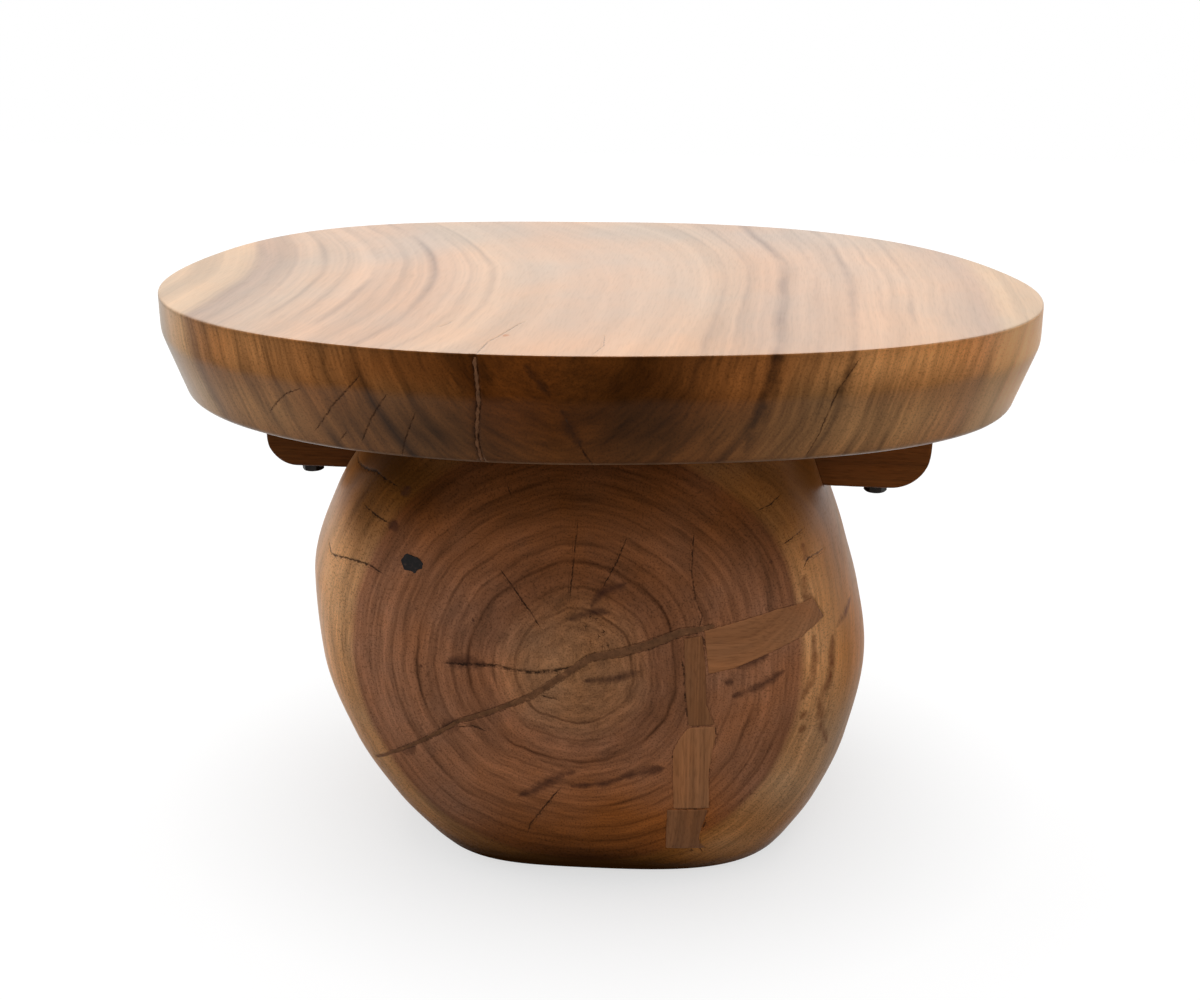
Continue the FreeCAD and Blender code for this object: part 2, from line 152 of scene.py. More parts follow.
# Soft oval patches of the log's face: x, z, reach in x, reach in z, lighter, warmer
# Beside the wood's own tone they hold painted shade under the slab's overhang and near the floor, and a
# painted cool sheen low on the face
LOG_PATCHES = (
    (-100, 195, 16, 50, 0.08, 0.1), (62, 205, 14, 50, -0.14, 0.1), (-50, 140, 30, 20, 0.1, 0.0),
    (-18, 331, 160, 58, -0.64, 0.9), (-18, 374, 280, 46, -0.1, 0.3), (-18, 386, 280, 22, -0.25, 0.0),
    (-55, 196, 42, 36, 0.24, 0.0), (-18, 5, 260, 60, -0.68, 1.1), (-18, -2, 300, 26, -0.55, 0.0),
    (-18, 262, 60, 26, -0.28, 0.3), (-6, 194, 18, 14, -0.1, 0.0), (-170, 195, 24, 80, 0.24, -0.1),
    (40, 60, 80, 40, 0.05, 0.9), (130, 150, 60, 80, 0.0, 0.2), (212, 200, 24, 120, -0.06, 1.0),
    (-222, 240, 26, 100, 0.56, -0.35), (165, 325, 60, 50, -0.45, 0.8), (-175, 340, 65, 45, -0.58, 0.8),
    (-60, 100, 60, 20, 0.1, 0.1), (-30, 125, 80, 28, 0.25, 0.1), (168, 205, 20, 70, 0.42, -0.1),
    (-18, 291, 60, 16, 0.16, 0.0), (198, 302, 24, 24, -0.24, 0.3), (205, 268, 22, 22, -0.18, 0.2),
    (155, 85, 42, 30, 0.28, -0.7), (108, 32, 44, 22, 0.45, -0.7), (200, 125, 26, 48, 0.04, -0.8),
    (-121, 62, 36, 28, 0.2, -0.5), (-200, 300, 24, 26, -0.4, 0.1),
)

# The same for the slab's front rim, in x and z, and for its top, in x and y
# The rim's patches also hold painted shade on its lower taper, which faces down, and a painted pale,
# cool sheen low toward its ends
RIM_PATCHES = (
    (66, 430, 48, 60, -0.45, 0.5), (66, 402, 40, 20, -0.18, -0.2), (-20, 440, 40, 50, 0.05, 1.0),
    (-97, 400, 42, 24, -0.5, 0.1), (-97, 452, 50, 18, -0.12, 1.3), (-164, 405, 40, 26, -0.3, -0.2),
    (-164, 452, 40, 16, 0.0, 0.2), (-20, 400, 40, 24, -0.08, -0.1), (131, 450, 30, 20, 0.35, 1.8),
    (131, 402, 40, 24, -0.1, 0.1), (-255, 452, 50, 15, 0.33, 0.2), (-250, 402, 60, 20, 0.55, -1.0),
    (190, 404, 50, 26, 0.1, -0.6), (255, 455, 45, 16, 1.05, -0.6), (190, 452, 40, 16, 0.35, 0.2),
    (262, 404, 55, 26, 0.75, -0.6), (-52, 420, 10, 60, -0.15, 0.3), (358, 434, 26, 60, 0.7, 2.0),
    (105, 452, 24, 16, 0.15, 1.0), (312, 458, 28, 24, 0.4, 0.8), (-352, 430, 26, 50, -0.15, 0.2),
    (350, 398, 30, 26, 0.75, 0.0),
)
TOP_PATCHES = (
    (0, -240, 220, 40, 0.04, 0.5), (-250, 60, 90, 60, -0.05, -0.3), (0, 210, 260, 60, -0.07, -0.8),
    (140, 0, 40, 200, -0.04, 0.2), (-60, 40, 120, 80, 0.04, -0.2), (-330, -20, 60, 120, -0.12, 0.0),
)

# Painted light on the bearer: painted shade at its left end, lighter and warmer painted light at its
# right end
BEARER_PAINTED_LIGHT = ((-240, 350, 110, 80, -0.3, 0.0), (250, 350, 130, 80, 0.4, 0.3))

# Repairs let into the log's face: the two long edges of each, both from the same end
WEDGE_EDGES = (
    ((84, 230), (114, 237), (140, 242), (170, 243)),
    ((88, 195), (108, 199), (131, 207), (163, 217), (180, 226)),
)
STRIP_EDGES = (
    ((68, 224), (69, 204), (70, 183), (73, 151)),
    ((82, 226), (85, 208), (86, 196), (87, 170), (94, 152)),
)
MIDDLE_PATCH_EDGES = (
    ((73, 150), (66, 141), (61, 129), (61, 103), (62, 76)),
    ((94, 151), (95, 141), (93, 131), (90, 108), (91, 76)),
)
FOOT_PATCH_EDGES = (
    ((57, 75), (56, 55), (56, 35)),
    ((90, 75), (86, 59), (83, 47), (84, 40), (89, 34)),
)
BLOCK_EDGES = (WEDGE_EDGES, STRIP_EDGES, MIDDLE_PATCH_EDGES, FOOT_PATCH_EDGES)

# The diagonal filler with its half widths, and the black knot
LOG_FILLER_LINE = (
    (-190, 91), (-169, 108), (-140, 128), (-110, 149), (-80, 161), (-50, 175),
    (-21, 196), (-5, 207), (19, 212), (42, 219), (66, 229), (80, 231), (93, 234),
)
LOG_FILLER_WIDTHS = (1.2, 1.5, 1.7, 2.0, 2.3, 2.5, 2.8, 3.2, 3.4, 3.6, 3.4, 2.6, 1.2)
KNOT_CENTRE = (-149, 274)
KNOT_WIDTH = 18
KNOT_HEIGHT = 13

# Cracks of the slab's front rim as (x, z), and of its top as (x, y)
RIM_CRACKS = (
    (0.7, ((-225, 402), (-218, 411), (-207, 421), (-194, 427))),
    (0.8, ((-185, 394), (-168, 417), (-145, 442))),
    (0.7, ((-147, 390), (-137, 411), (-124, 430))),
    (0.6, ((-116, 380), (-111, 398), (-102, 418))),
    (0.5, ((-167, 386), (-159, 396))),
    (0.8, ((19, 396), (23, 388), (28, 379))),
    (0.6, ((218, 458), (211, 446), (205, 438), (198, 420), (192, 402), (183, 384))),
)
TOP_CRACKS = (
    (0.7, ((-55, -272), (-53, -234), (-48, -216), (-40, -178), (-36, -166))),
    (0.45, ((28, -262), (33, -235), (30, -205))),
    (0.4, ((-98, -192), (-94, -182), (-92, -170))),
)

# Rusty specks of the slab's top as (x, y), and dark smudges of its front rim as (x, z)
TOP_RUST_SPOTS = ((3.4, ((-45.5, -212.4), (-41, -212.4))),)
RIM_SMUDGES = (
    (3.0, ((-20, 458), (-10, 446), (-2, 434))),
    (4.0, ((6, 424), (12, 410), (19, 396))),
    (5.0, ((160, 474), (159, 451), (156, 438), (150, 422), (144, 411), (138, 390))),
    (3.0, ((216, 456), (207, 440), (200, 424))),
)

# Beads of filler in the front rim as (x, z), each with its half width
RIM_FILLER_LINE = ((-54.5, 380.5), (-57.5, 395), (-57, 411), (-54.5, 428), (-55.5, 446), (-57, 462))
SLANTED_FILLER_LINE = ((-17, 455), (-10, 446), (-2, 434), (6, 423), (13, 408), (19, 394))
RIM_FILLER_WIDTH = 1.35
SLANTED_FILLER_WIDTH = 0.8

# Grooves pressed into the faces: depth, half width and, for a filler's flat bed, its power
TOP_CRACK_GROOVE = (0.3 * MM, MM)
RIM_CRACK_GROOVE = (0.35 * MM, MM)
LOG_CRACK_GROOVE = (0.5 * MM, 1.1 * MM)
RIM_FILLER_BED = (1.6 * MM, 3 * MM, 4)
SLANTED_FILLER_BED = (0.6 * MM, 1.4 * MM, 4)
# Pockets of the log's repairs: the rise of their walls, and their depth
POCKET_SLOPE = 0.7
POCKET_DEPTH = 2.5 * MM

# How strongly each kind of line shows, beside an open crack of the log as 1
LINE_STRENGTH = {
    "top crack": 0.42, "rim crack": 0.55, "rim filler": 0.7, "log joint": 0.4, "log filler": 0.5,
}

# How many places each zone of a body's mesh has, both of its ends included
SLAB_PLACES = {"inner top": 38, "outer top": 46, "arris": 5, "rim": 38, "foot arris": 6, "under": 14}
LOG_PLACES = {"cap": 10, "arris": 4, "side": 285}
BEARER_PLACES = {"length": 230, "arris": 5, "side": 22, "face": 26}

# How far cracks and joints reach in the fields that the meshes carry
CRACK_REACH = 5 * MM
JOINT_REACH = 4 * MM
# What crack_side says far from every crack
NO_CRACK = 9
# How near a point counts as lying in a flat face
TOUCH = MM / 100


def linear(text):
    """An sRGB colour such as #A07040 as linear red, green and blue."""
    shares = [int(text[at:at + 2], 16) / 255 for at in (1, 3, 5)]
    return tuple(s / 12.92 if s <= 0.04045 else ((s + 0.055) / 1.055) ** 2.4 for s in shares)


# Sizes and colours that a user may change

slab_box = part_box("table_top")
bearer_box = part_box("cross_bearer")
log_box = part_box("trunk_base")


def length_property(name, description, default):
    return FloatProperty(name=name, description=description, default=default, unit="LENGTH",
                         subtype="DISTANCE", precision=4)


def colour_property(name, description, text):
    return FloatVectorProperty(name=name, description=description, default=linear(text), size=3,
                               min=0, max=1, subtype="COLOR")


class SlabSettings(bpy.types.PropertyGroup):
    length: length_property("Length", "Slab length along X", slab_box[1].x - slab_box[0].x)
    width: length_property("Width", "Slab width along Y", slab_box[1].y - slab_box[0].y)
    top: length_property("Top height", "Height of the top face", slab_box[1].z)
    thickness: length_property("Thickness", "Slab thickness", slab_box[1].z - slab_box[0].z)
    band: length_property("Band height", "Height of the upright band of the rim", 31 * MM)
    top_round: length_property("Top arris", "Radius of the top edge", 2 * MM)
    foot_round: length_property("Foot arris", "Radius of the lower edge", 6 * MM)
    taper_front: length_property("Taper at the front", "How far the rim draws in at the front", 8 * MM)
    taper_sides: length_property("Taper at the sides", "How far the rim draws in at the ends", 21 * MM)
    hand_wave: length_property("Hand-cut wave", "How far the sanded faces wander", 0.6 * MM)
    end_heart: colour_property("End grain, heart", "Heartwood across the fibres", "#6E4018")
    end_outer: colour_property("End grain, outer", "Outer heartwood across the fibres", "#B47C4A")
    long_heart: colour_property("Long grain, heart", "Heartwood along the fibres", "#C7A58A")
    long_streak: colour_property("Long grain, streaks", "Dark growth streaks", "#6E5244")
    sapwood: colour_property("Sapwood, rim", "The pale outer wood", "#C8955F")
    long_sapwood: colour_property("Sapwood, top", "The pale outer wood along the fibres", "#CCAA86")


class LogSettings(bpy.types.PropertyGroup):
    middle: length_property("Middle", "X of the log's own frame", 14 * MM)
    turn: FloatProperty(name="Turn", description="Turn about Z", default=math.radians(3),
                        unit="ROTATION", subtype="ANGLE")
    left: length_property("Left reach", "Half size to the left at the widest", 256 * MM)
    right: length_property("Right reach", "Half size to the right at the widest", 223 * MM)
    front: length_property("Front reach", "Half size to the front at the widest", 220 * MM)
    back: length_property("Back reach", "Half size to the back at the widest", 182 * MM)
    foot: length_property("Foot", "Height of the cut face over the floor", log_box[0].z)
    top: length_property("Top", "Height of the log's top face", log_box[1].z)
    squareness: FloatProperty(name="Squareness", description="2 is an oval, more is squarer",
                              default=3.35)
    arris: length_property("Arris", "Rounding of the top and bottom edges", 2.5 * MM)
    hand_wave: length_property("Hand-cut wave", "How far the sanded faces wander", 0.7 * MM)
    heart_radius: length_property("Heart radius", "Where heartwood turns to sapwood", 182 * MM)
    core: colour_property("Core", "Wood round the pith", "#A87A51")
    heart: colour_property("Heartwood", "Middle of the heartwood", "#AC7855")
    dark_ring: colour_property("Dark rings", "Dark growth rings", "#52301B")
    sapwood: colour_property("Sapwood", "The pale outer wood", "#C89664")
    bark: colour_property("Bark stain", "Reddish ingrown bark", "#6E361E")


class BearerSettings(bpy.types.PropertyGroup):
    left_round: length_property("Left rounding", "Radius of the left lower corner", 27 * MM)
    right_round: length_property("Right rounding", "Radius of the right lower corner", 34 * MM)
    edge_round: length_property("Edge rounding", "Radius of the long edges", 3 * MM)
    housing_clearance: length_property("Housing clearance", "Gap between bearer and log", 0.3 * MM)
    wood: colour_property("Wood", "Dark side grain", "#784820")


class RepairSettings(bpy.types.PropertyGroup):
    thickness: length_property("Thickness", "Depth of the let-in blocks", 8 * MM)
    ease: length_property("Eased edge", "Rounding of a block's visible edge", 0.3 * MM)
    filler: colour_property("Filler", "Wood dust set in glue", "#7C5438")
    block: colour_property("Block wood", "Let-in blocks", "#9E6C48")
    resin: colour_property("Dark resin", "Filled black knot", "#1A1514")


class StageSettings(bpy.types.PropertyGroup):
    camera_place: FloatVectorProperty(name="Camera place", description="Where the camera stands",
                                      default=(0.1843, -1.4902, 0.7819), size=3, unit="LENGTH",
                                      subtype="TRANSLATION")
    camera_tilt: FloatProperty(name="Camera tilt", description="Downward tilt", subtype="ANGLE",
                               default=math.radians(19.03), unit="ROTATION")
    camera_turn: FloatProperty(name="Camera turn", description="Turn to the left", subtype="ANGLE",
                               default=math.radians(7), unit="ROTATION")
    lens: FloatProperty(name="Lens", description="Focal length in millimetres", default=53.46)
    floor: colour_property("Floor", "Pale studio floor", "#F4F3F2")
    room_light: FloatProperty(name="Room light", description="Strength of the even light", default=0.35)
    overhead: FloatProperty(name="Overhead", description="Power of the overhead softbox in watts",
                            default=30)
    left_lamp: FloatProperty(name="Left lamp", description="Power of the left softbox", default=7.5)
    right_lamp: FloatProperty(name="Right lamp", description="Power of the right softbox", default=2.8)
    front_lamp: FloatProperty(name="Front lamp", description="Power of the frontal fill", default=13)


class TableSettings(bpy.types.PropertyGroup):
    slab: PointerProperty(name="Slab", description="The oval top", type=SlabSettings)
    log: PointerProperty(name="Log", description="The log foot", type=LogSettings)
    bearer: PointerProperty(name="Bearer", description="The cross bearer", type=BearerSettings)
    repairs: PointerProperty(name="Repairs", description="Inlays and fillers", type=RepairSettings)
    stage: PointerProperty(name="Stage", description="Camera, lamps and floor", type=StageSettings)


# Curves and fields

def closed_spline(corners, count):
    """Points along the smooth closed curve through the corners, at even steps of chord length."""
    corners = np.asarray(corners, float)
    total = len(corners)
    here = np.arange(total)
    ahead = np.roll(corners, -1, 0)
    chord = np.linalg.norm(ahead - corners, axis=1)
    matrix = np.zeros((total, total))
    matrix[here, here - 1] = np.roll(chord, 1)
    matrix[here, here] = 2 * (np.roll(chord, 1) + chord)
    matrix[here, (here + 1) % total] = chord
    rise = (ahead - corners) / chord[:, None]
    bend = np.linalg.solve(matrix, 6 * (rise - np.roll(rise, 1, 0)))
    knots = np.concatenate([[0], np.cumsum(chord)])
    place = np.linspace(0, knots[-1], count, endpoint=False)
    span = np.clip(np.searchsorted(knots, place, side="right") - 1, 0, total - 1)
    done = (place - knots[span])[:, None]
    left = chord[span][:, None] - done
    width = chord[span][:, None]
    bend_here = bend[span]
    bend_ahead = bend[(span + 1) % total]
    curve = (bend_here * left ** 3 + bend_ahead * done ** 3) / (6 * width)
    curve += (corners[span] / width - bend_here * width / 6) * left
    curve += (ahead[span] / width - bend_ahead * width / 6) * done
    return curve


def gentle_curve(place, places, values):
    """A smooth curve through the values that never swings beyond two neighbours."""
    places = np.asarray(places, float)
    values = np.asarray(values, float)
    gaps = np.diff(places)
    rises = np.diff(values) / gaps
    product = rises[:-1] * rises[1:]
    total = rises[:-1] + rises[1:]
    safe = np.where(product > 0, total, 1)
    slopes = np.concatenate([rises[:1], np.where(product > 0, 2 * product / safe, 0), rises[-1:]])
    span = np.clip(np.searchsorted(places, place, side="right") - 1, 0, len(gaps) - 1)
    gap = gaps[span]
    t = (place - places[span]) / gap
    start = (1 + 2 * t) * (1 - t) ** 2 * values[span] + t * (1 - t) ** 2 * gap * slopes[span]
    end = t * t * (3 - 2 * t) * values[span + 1] + t * t * (t - 1) * gap * slopes[span + 1]
    return start + end


def wave(points, size, seed):
    """Smooth wandering values from about -1 to 1 at points, with hills of a given size.

    The points are 3-D, or 2-D at a height of 0, and stand in a list or a grid. Each use has a
    seed of its own.
    """
    shift = Vector((seed * 3.7, seed * 1.3, seed * 2.1))
    axes = points.shape[-1]
    places = np.zeros((points.size // axes, 3))
    places[:, :axes] = points.reshape(-1, axes)
    values = [noise.noise(Vector(place) / size + shift) for place in places]
    return np.array(values).reshape(points.shape[:-1])


def ramp(values, low, high):
    """0 up to the low end, 1 from the high end on, and even between them."""
    return np.clip((values - low) / (high - low), 0, 1)


def smooth_ramp(values, low, high):
    share = ramp(values, low, high)
    return share * share * (3 - 2 * share)


def groove(gap, depth, half_width, power=2):
    """A soft-edged groove, deepest where the gap is 0."""
    return depth * np.exp(-(gap / half_width) ** power)


def along_line(places, points):
    """Walks a line: each part's direction, the places' offsets from it and their run from 0 to 1."""
    line = np.asarray(points, float) * MM
    lengths = np.linalg.norm(np.diff(line, axis=0), axis=1)
    before = np.concatenate([[0], np.cumsum(lengths)])
    for index, (start, end) in enumerate(zip(line, line[1:])):
        along = end - start
        share = np.clip((places - start) @ along / (along @ along), 0, 1)
        offset = places - start - share[:, None] * along
        yield along, offset, (before[index] + share * lengths[index]) / before[-1]


def line_field(places, lines, reach):
    """How 2-D places lie to the nearest of several tapering lines.

    Gives the signed distance in half widths, the closeness from 0 to 1 within the reach, and
    the plain distance in metres.
    """
    side = np.full(len(places), float(NO_CRACK))
    nearest = np.full(len(places), 1.0)
    for half_width, points in lines:
        for along, offset, run in along_line(places, points):
            distance = np.linalg.norm(offset, axis=1)
            width = half_width * MM * np.sqrt(np.clip(1.05 - (2 * run - 1) ** 4, 0.05, 1))
            turn = np.where(along[0] * offset[:, 1] - along[1] * offset[:, 0] < 0, -1, 1)
            closer = distance < nearest
            nearest = np.where(closer, distance, nearest)
            side = np.where(closer, np.clip(turn * distance / width, -NO_CRACK, NO_CRACK), side)
    return side, np.clip(1 - nearest / reach, 0, 1), nearest


def soft_marks(places, lines):
    """Strength up to 1 of marks that fade away from several lines and taper to their ends."""
    strength = np.zeros(len(places))
    for half_width, points in lines:
        for _, offset, run in along_line(places, points):
            taper = 0.3 + 0.7 * np.sqrt(np.clip(1 - (2 * run - 1) ** 2, 0, 1))
            width = 2 * half_width * MM * taper
            strength = np.maximum(strength, 1 - np.linalg.norm(offset, axis=1) / width)
    return strength


def soft_patches(places, patches):
    """Two fields, lightness and warmth, from soft oval patches of (x, y, reach, reach, light, warm)."""
    light = np.zeros(len(places))
    warm = np.zeros(len(places))
    for x, y, reach_x, reach_y, lighter, warmer in patches:
        far = ((places[:, 0] - x * MM) / (reach_x * MM)) ** 2
        far += ((places[:, 1] - y * MM) / (reach_y * MM)) ** 2
        light += lighter * np.exp(-far)
        warm += warmer * np.exp(-far)
    return light, warm


def depth_inside(places, corners):
    """How far 2-D places lie inside a polygon, or 0 outside it."""
    outline = np.asarray(corners, float) * MM
    nearest = np.full(len(places), 1.0)
    inside = np.zeros(len(places), bool)
    for start, end in zip(outline, np.roll(outline, -1, 0)):
        along = end - start
        share = np.clip((places - start) @ along / (along @ along), 0, 1)
        nearest = np.minimum(nearest, np.linalg.norm(places - start - share[:, None] * along, axis=1))
        spans = (start[1] > places[:, 1]) != (end[1] > places[:, 1])
        rise = end[1] - start[1] if end[1] != start[1] else 1
        inside ^= spans & (places[:, 0] < start[0] + (places[:, 1] - start[1]) / rise * along[0])
    return np.where(inside, nearest, 0)


# Meshes

def vertex_array(mesh):
    values = np.empty(len(mesh.vertices) * 3)
    mesh.vertices.foreach_get("co", values)
    return values.reshape(-1, 3)


def normal_array(mesh):
    values = np.empty(len(mesh.vertices) * 3, np.float32)
    mesh.vertex_normals.foreach_get("vector", values)
    return values.reshape(-1, 3).astype(float)


def set_vertices(mesh, points):
    mesh.vertices.foreach_set("co", np.ascontiguousarray(points, np.float32).ravel())
    mesh.update()


def set_fields(mesh, **fields):
    """Stores one number for each vertex under each name, for a material to read."""
    for name, values in fields.items():
        field = mesh.attributes.new(name, "FLOAT", "POINT")
        field.data.foreach_set("value", np.ascontiguousarray(values, np.float32))


def closed_mesh(name, points, faces):
    """A mesh whose faces all look outward."""
    mesh = bpy.data.meshes.new(name)
    mesh.from_pydata(points.tolist(), [], faces)
    body = bmesh.new()
    body.from_mesh(mesh)
    bmesh.ops.recalc_face_normals(body, faces=body.faces)
    body.to_mesh(mesh)
    body.free()
    mesh.update()
    return mesh


def closed_body(name, rings):
    """A closed body from rings of points, all of one count, with a middle point at both ends."""
    count = len(rings[0])
    points = np.concatenate([rings[0].mean(0)[None]] + list(rings) + [rings[-1].mean(0)[None]])
    here = np.arange(count)
    ahead = (here + 1) % count
    last = len(points) - 1
    faces = [(0, int(b) + 1, int(a) + 1) for a, b in zip(here, ahead)]
    for row in range(len(rings) - 1):
        low = 1 + row * count
        high = low + count
        square = np.stack([low + here, low + ahead, high + ahead, high + here], 1)
        faces.extend(map(tuple, square.tolist()))
    low = 1 + (len(rings) - 1) * count
    faces.extend((last, low + int(a), low + int(b)) for a, b in zip(here, ahead))
    return closed_mesh(name, points, faces)


def block_body(name, face, back):
    """A closed body from a grid of points on its visible face and the same grid on its back."""
    rows, columns = face.shape[:2]
    index = np.arange(rows * columns).reshape(rows, columns)
    behind = index + rows * columns
    rim = np.concatenate([index[0], index[1:, -1], index[-1, -2::-1], index[-2:0:-1, 0]])
    rim_behind = rim + rows * columns
    faces = []
    for row in range(rows - 1):
        for column in range(columns - 1):
            near = (index[row, column], index[row, column + 1], index[row + 1, column + 1],
                    index[row + 1, column])
            far = (behind[row, column], behind[row + 1, column], behind[row + 1, column + 1],
                   behind[row, column + 1])
            faces.append(tuple(int(i) for i in near))
            faces.append(tuple(int(i) for i in far))
    for at in range(len(rim)):
        after = (at + 1) % len(rim)
        wall = (rim[after], rim[at], rim_behind[at], rim_behind[after])
        faces.append(tuple(int(i) for i in wall))
    return closed_mesh(name, np.concatenate([face.reshape(-1, 3), back.reshape(-1, 3)]), faces)


def placed(name, data):
    """A new object in the scene."""
    made = bpy.data.objects.new(name, data)
    bpy.context.scene.collection.objects.link(made)
    return made


def stand(name, mesh, material, nodes, matrix=None):
    """Puts a finished mesh in the table as a piece that stands for CAD nodes."""
    mesh.shade_smooth()
    mesh.materials.clear()
    mesh.materials.append(material)
    piece = placed(name, mesh)
    if matrix is not None:
        piece.matrix_world = matrix
    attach(piece, "root")
    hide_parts(*nodes)


def cut_away(mesh, tools):
    """The mesh with closed tool meshes cut out of it."""
    body = placed("body", mesh)
    helpers = []
    for tool in tools:
        helper = placed("tool", tool)
        helpers.append(helper)
        cut = body.modifiers.new("cut", "BOOLEAN")
        cut.operation = "DIFFERENCE"
        cut.solver = "MANIFOLD"
        cut.object = helper
    graph = bpy.context.evaluated_depsgraph_get()
    result = bpy.data.meshes.new_from_object(body.evaluated_get(graph))
    for helper in helpers + [body]:
        bpy.data.objects.remove(helper)
    if len(result.vertices) == 0:
        raise RuntimeError("a cut left nothing of " + mesh.name)
    return result


def level_ring(x, y, height):
    """A ring of points at one height."""
    return np.stack([x, y, np.full(len(x), height)], 1)


def box_tool(low, high):
    x = (low[0], high[0])
    y = (low[1], high[1])
    lower = np.array([(x[0], y[0], low[2]), (x[1], y[0], low[2]), (x[1], y[1], low[2]),
                      (x[0], y[1], low[2])])
    upper = lower + np.array((0, 0, high[2] - low[2]))
    return closed_body("tool", [upper, lower])


def round_tool(x, y, radius, low, high):
    angles = np.linspace(0, 2 * math.pi, 48, endpoint=False)
    lower = level_ring(x + radius * np.cos(angles), y + radius * np.sin(angles), low)
    upper = lower + np.array((0, 0, high - low))
    return closed_body("tool", [upper, lower])


# Shape of the slab

def slab_outline(slab):
    """Angles and reaches round the slab's band."""
    count = len(SLAB_RADIUS_SHARES)
    angles = 2 * math.pi * np.arange(count) / count
    corners = np.array(SLAB_RADIUS_SHARES)[:, None] * np.stack([np.cos(angles), np.sin(angles)], 1)
    along = closed_spline(corners, 50 * count)
    low = along.min(0)
    high = along.max(0)
    corners = ((corners - low) / (high - low) - 0.5) * np.array((slab.length, slab.width))
    dense = closed_spline(corners, 200 * count)
    angles = np.arctan2(dense[:, 1], dense[:, 0])
    order = np.argsort(angles)
    return angles[order], np.linalg.norm(dense, axis=1)[order]


def slab_reach(slab, angles):
    known, reach = slab_outline(slab)
    return np.interp(angles, known, reach, period=2 * math.pi)


def slab_inset(slab, angles, height):
    """How far the rim lies inside the band's outline at a height."""
    taper = slab.taper_front + (slab.taper_sides - slab.taper_front) * np.cos(angles) ** 2
    foot = slab.top - slab.band
    under = slab.top - slab.thickness
    share = (foot - height) / (foot - under)
    blend = 0.004
    eased = 0.5 * (share + math.sqrt(share * share + blend)) - 0.5 * (math.sqrt(1 + blend) - 1)
    return taper * max(eased, 0)


def rim_angles(slab):
    """Angles round the rim, closer together at the front and closest where the cracks are."""
    count = 1080
    cracks_middle = -20 * MM
    cracks_reach = 75 * MM
    angles = np.linspace(-math.pi, math.pi, 4000, endpoint=False)
    reach = slab_reach(slab, angles)
    x = reach * np.cos(angles)
    y = reach * np.sin(angles)
    close = groove(x - cracks_middle, 1, cracks_reach, 4) * (y < 0)
    front = (y < -slab.width / 5) * 0.5
    density = reach * (1 + front + 2.2 * close)
    run = np.cumsum(density)
    run = (run - run[0]) / (run[-1] + density[-1] - run[0])
    return np.interp(np.linspace(0, 1, count, endpoint=False), run, angles)


def slab_rings(slab):
    """Rings of points from the middle of the top out, down the rim and back in underneath."""
    # The top's cracks run in its outer part, where its rings lie closer
    fine_from = 0.7
    angles = rim_angles(slab)
    reach = slab_reach(slab, angles)
    under = slab.top - slab.thickness
    rows = []
    inner = np.linspace(0, fine_from, SLAB_PLACES["inner top"])[1:]
    outer = np.linspace(fine_from, 1, SLAB_PLACES["outer top"])[1:]
    for share in np.concatenate([inner, outer]):
        rows.append((slab.top, (reach - slab.top_round) * share))
    for turn in np.linspace(0, math.pi / 2, SLAB_PLACES["arris"])[1:]:
        inset = slab.top_round * (1 - math.sin(turn))
        rows.append((slab.top - slab.top_round * (1 - math.cos(turn)), reach - inset))
    lowest = under + slab.foot_round
    for height in np.linspace(slab.top - slab.top_round, lowest, SLAB_PLACES["rim"])[1:]:
        rows.append((height, reach - slab_inset(slab, angles, height)))
    for turn in np.linspace(0, math.pi / 2, SLAB_PLACES["foot arris"])[1:]:
        height = under + slab.foot_round * (1 - math.sin(turn))
        inset = slab_inset(slab, angles, height) + slab.foot_round * (1 - math.cos(turn))
        rows.append((height, reach - inset))
    edge = rows[-1][1]
    for share in np.linspace(1, 0, SLAB_PLACES["under"])[1:-1]:
        rows.append((under, edge * share))
    return [level_ring(radius * np.cos(angles), radius * np.sin(angles), height)
            for height, radius in rows]


def rim_point(slab, x, height):
    """A point on the slab's front rim, by its x and height."""
    angles = np.linspace(-math.pi, 0, 1200)
    lowest = slab.top - slab.thickness + slab.foot_round
    radius = slab_reach(slab, angles) - slab_inset(slab, angles, height)
    below = max(lowest - height, 0)
    radius = radius - slab.foot_round + math.sqrt(max(slab.foot_round ** 2 - below ** 2, 0))
    y = np.interp(x, radius * np.cos(angles), radius * np.sin(angles))
    return np.array((x, y, height))


def slab_wander(slab, points):
    """How far the sanded surface lies off its plain shape, the same for all that is set in it."""
    return -slab.hand_wave * (0.5 + 0.5 * wave(points, 85 * MM, 1))


# Shape of the log, in its own frame

def log_reaches(log, heights):
    share = np.clip((heights - log.foot) / (log.top - log.foot), 0, 1)
    left = log.left * gentle_curve(share, LOG_HEIGHT_SHARES, LOG_LEFT_SHARES)
    right = log.right * gentle_curve(share, LOG_HEIGHT_SHARES, LOG_RIGHT_SHARES)
    front = log.front * gentle_curve(share, LOG_HEIGHT_SHARES, LOG_FRONT_SHARES)
    back = log.back * gentle_curve(share, LOG_HEIGHT_SHARES, LOG_BACK_SHARES)
    return left, right, front, back


def log_face(log, x, z):
    """Points on the log's front face by x and z."""
    left, right, front, _ = log_reaches(log, z)
    share = np.clip(np.abs(x) / np.where(x > 0, right, left), 0, 0.999)
    y = -front * (1 - share ** log.squareness) ** (1 / log.squareness)
    return np.stack([x, y, z], -1)


def log_face_normal(log, x, z):
    step = 1 * MM
    slope_x = (log_face(log, x + step, z) - log_face(log, x - step, z))[..., 1] / (2 * step)
    slope_z = (log_face(log, x, z + step) - log_face(log, x, z - step))[..., 1] / (2 * step)
    normal = np.stack([slope_x, -np.ones_like(x), slope_z], -1)
    return normal / np.linalg.norm(normal, axis=-1, keepdims=True)


def log_wander(log, points):
    return -log.hand_wave * (0.5 + 0.5 * wave(points, 75 * MM, 5))


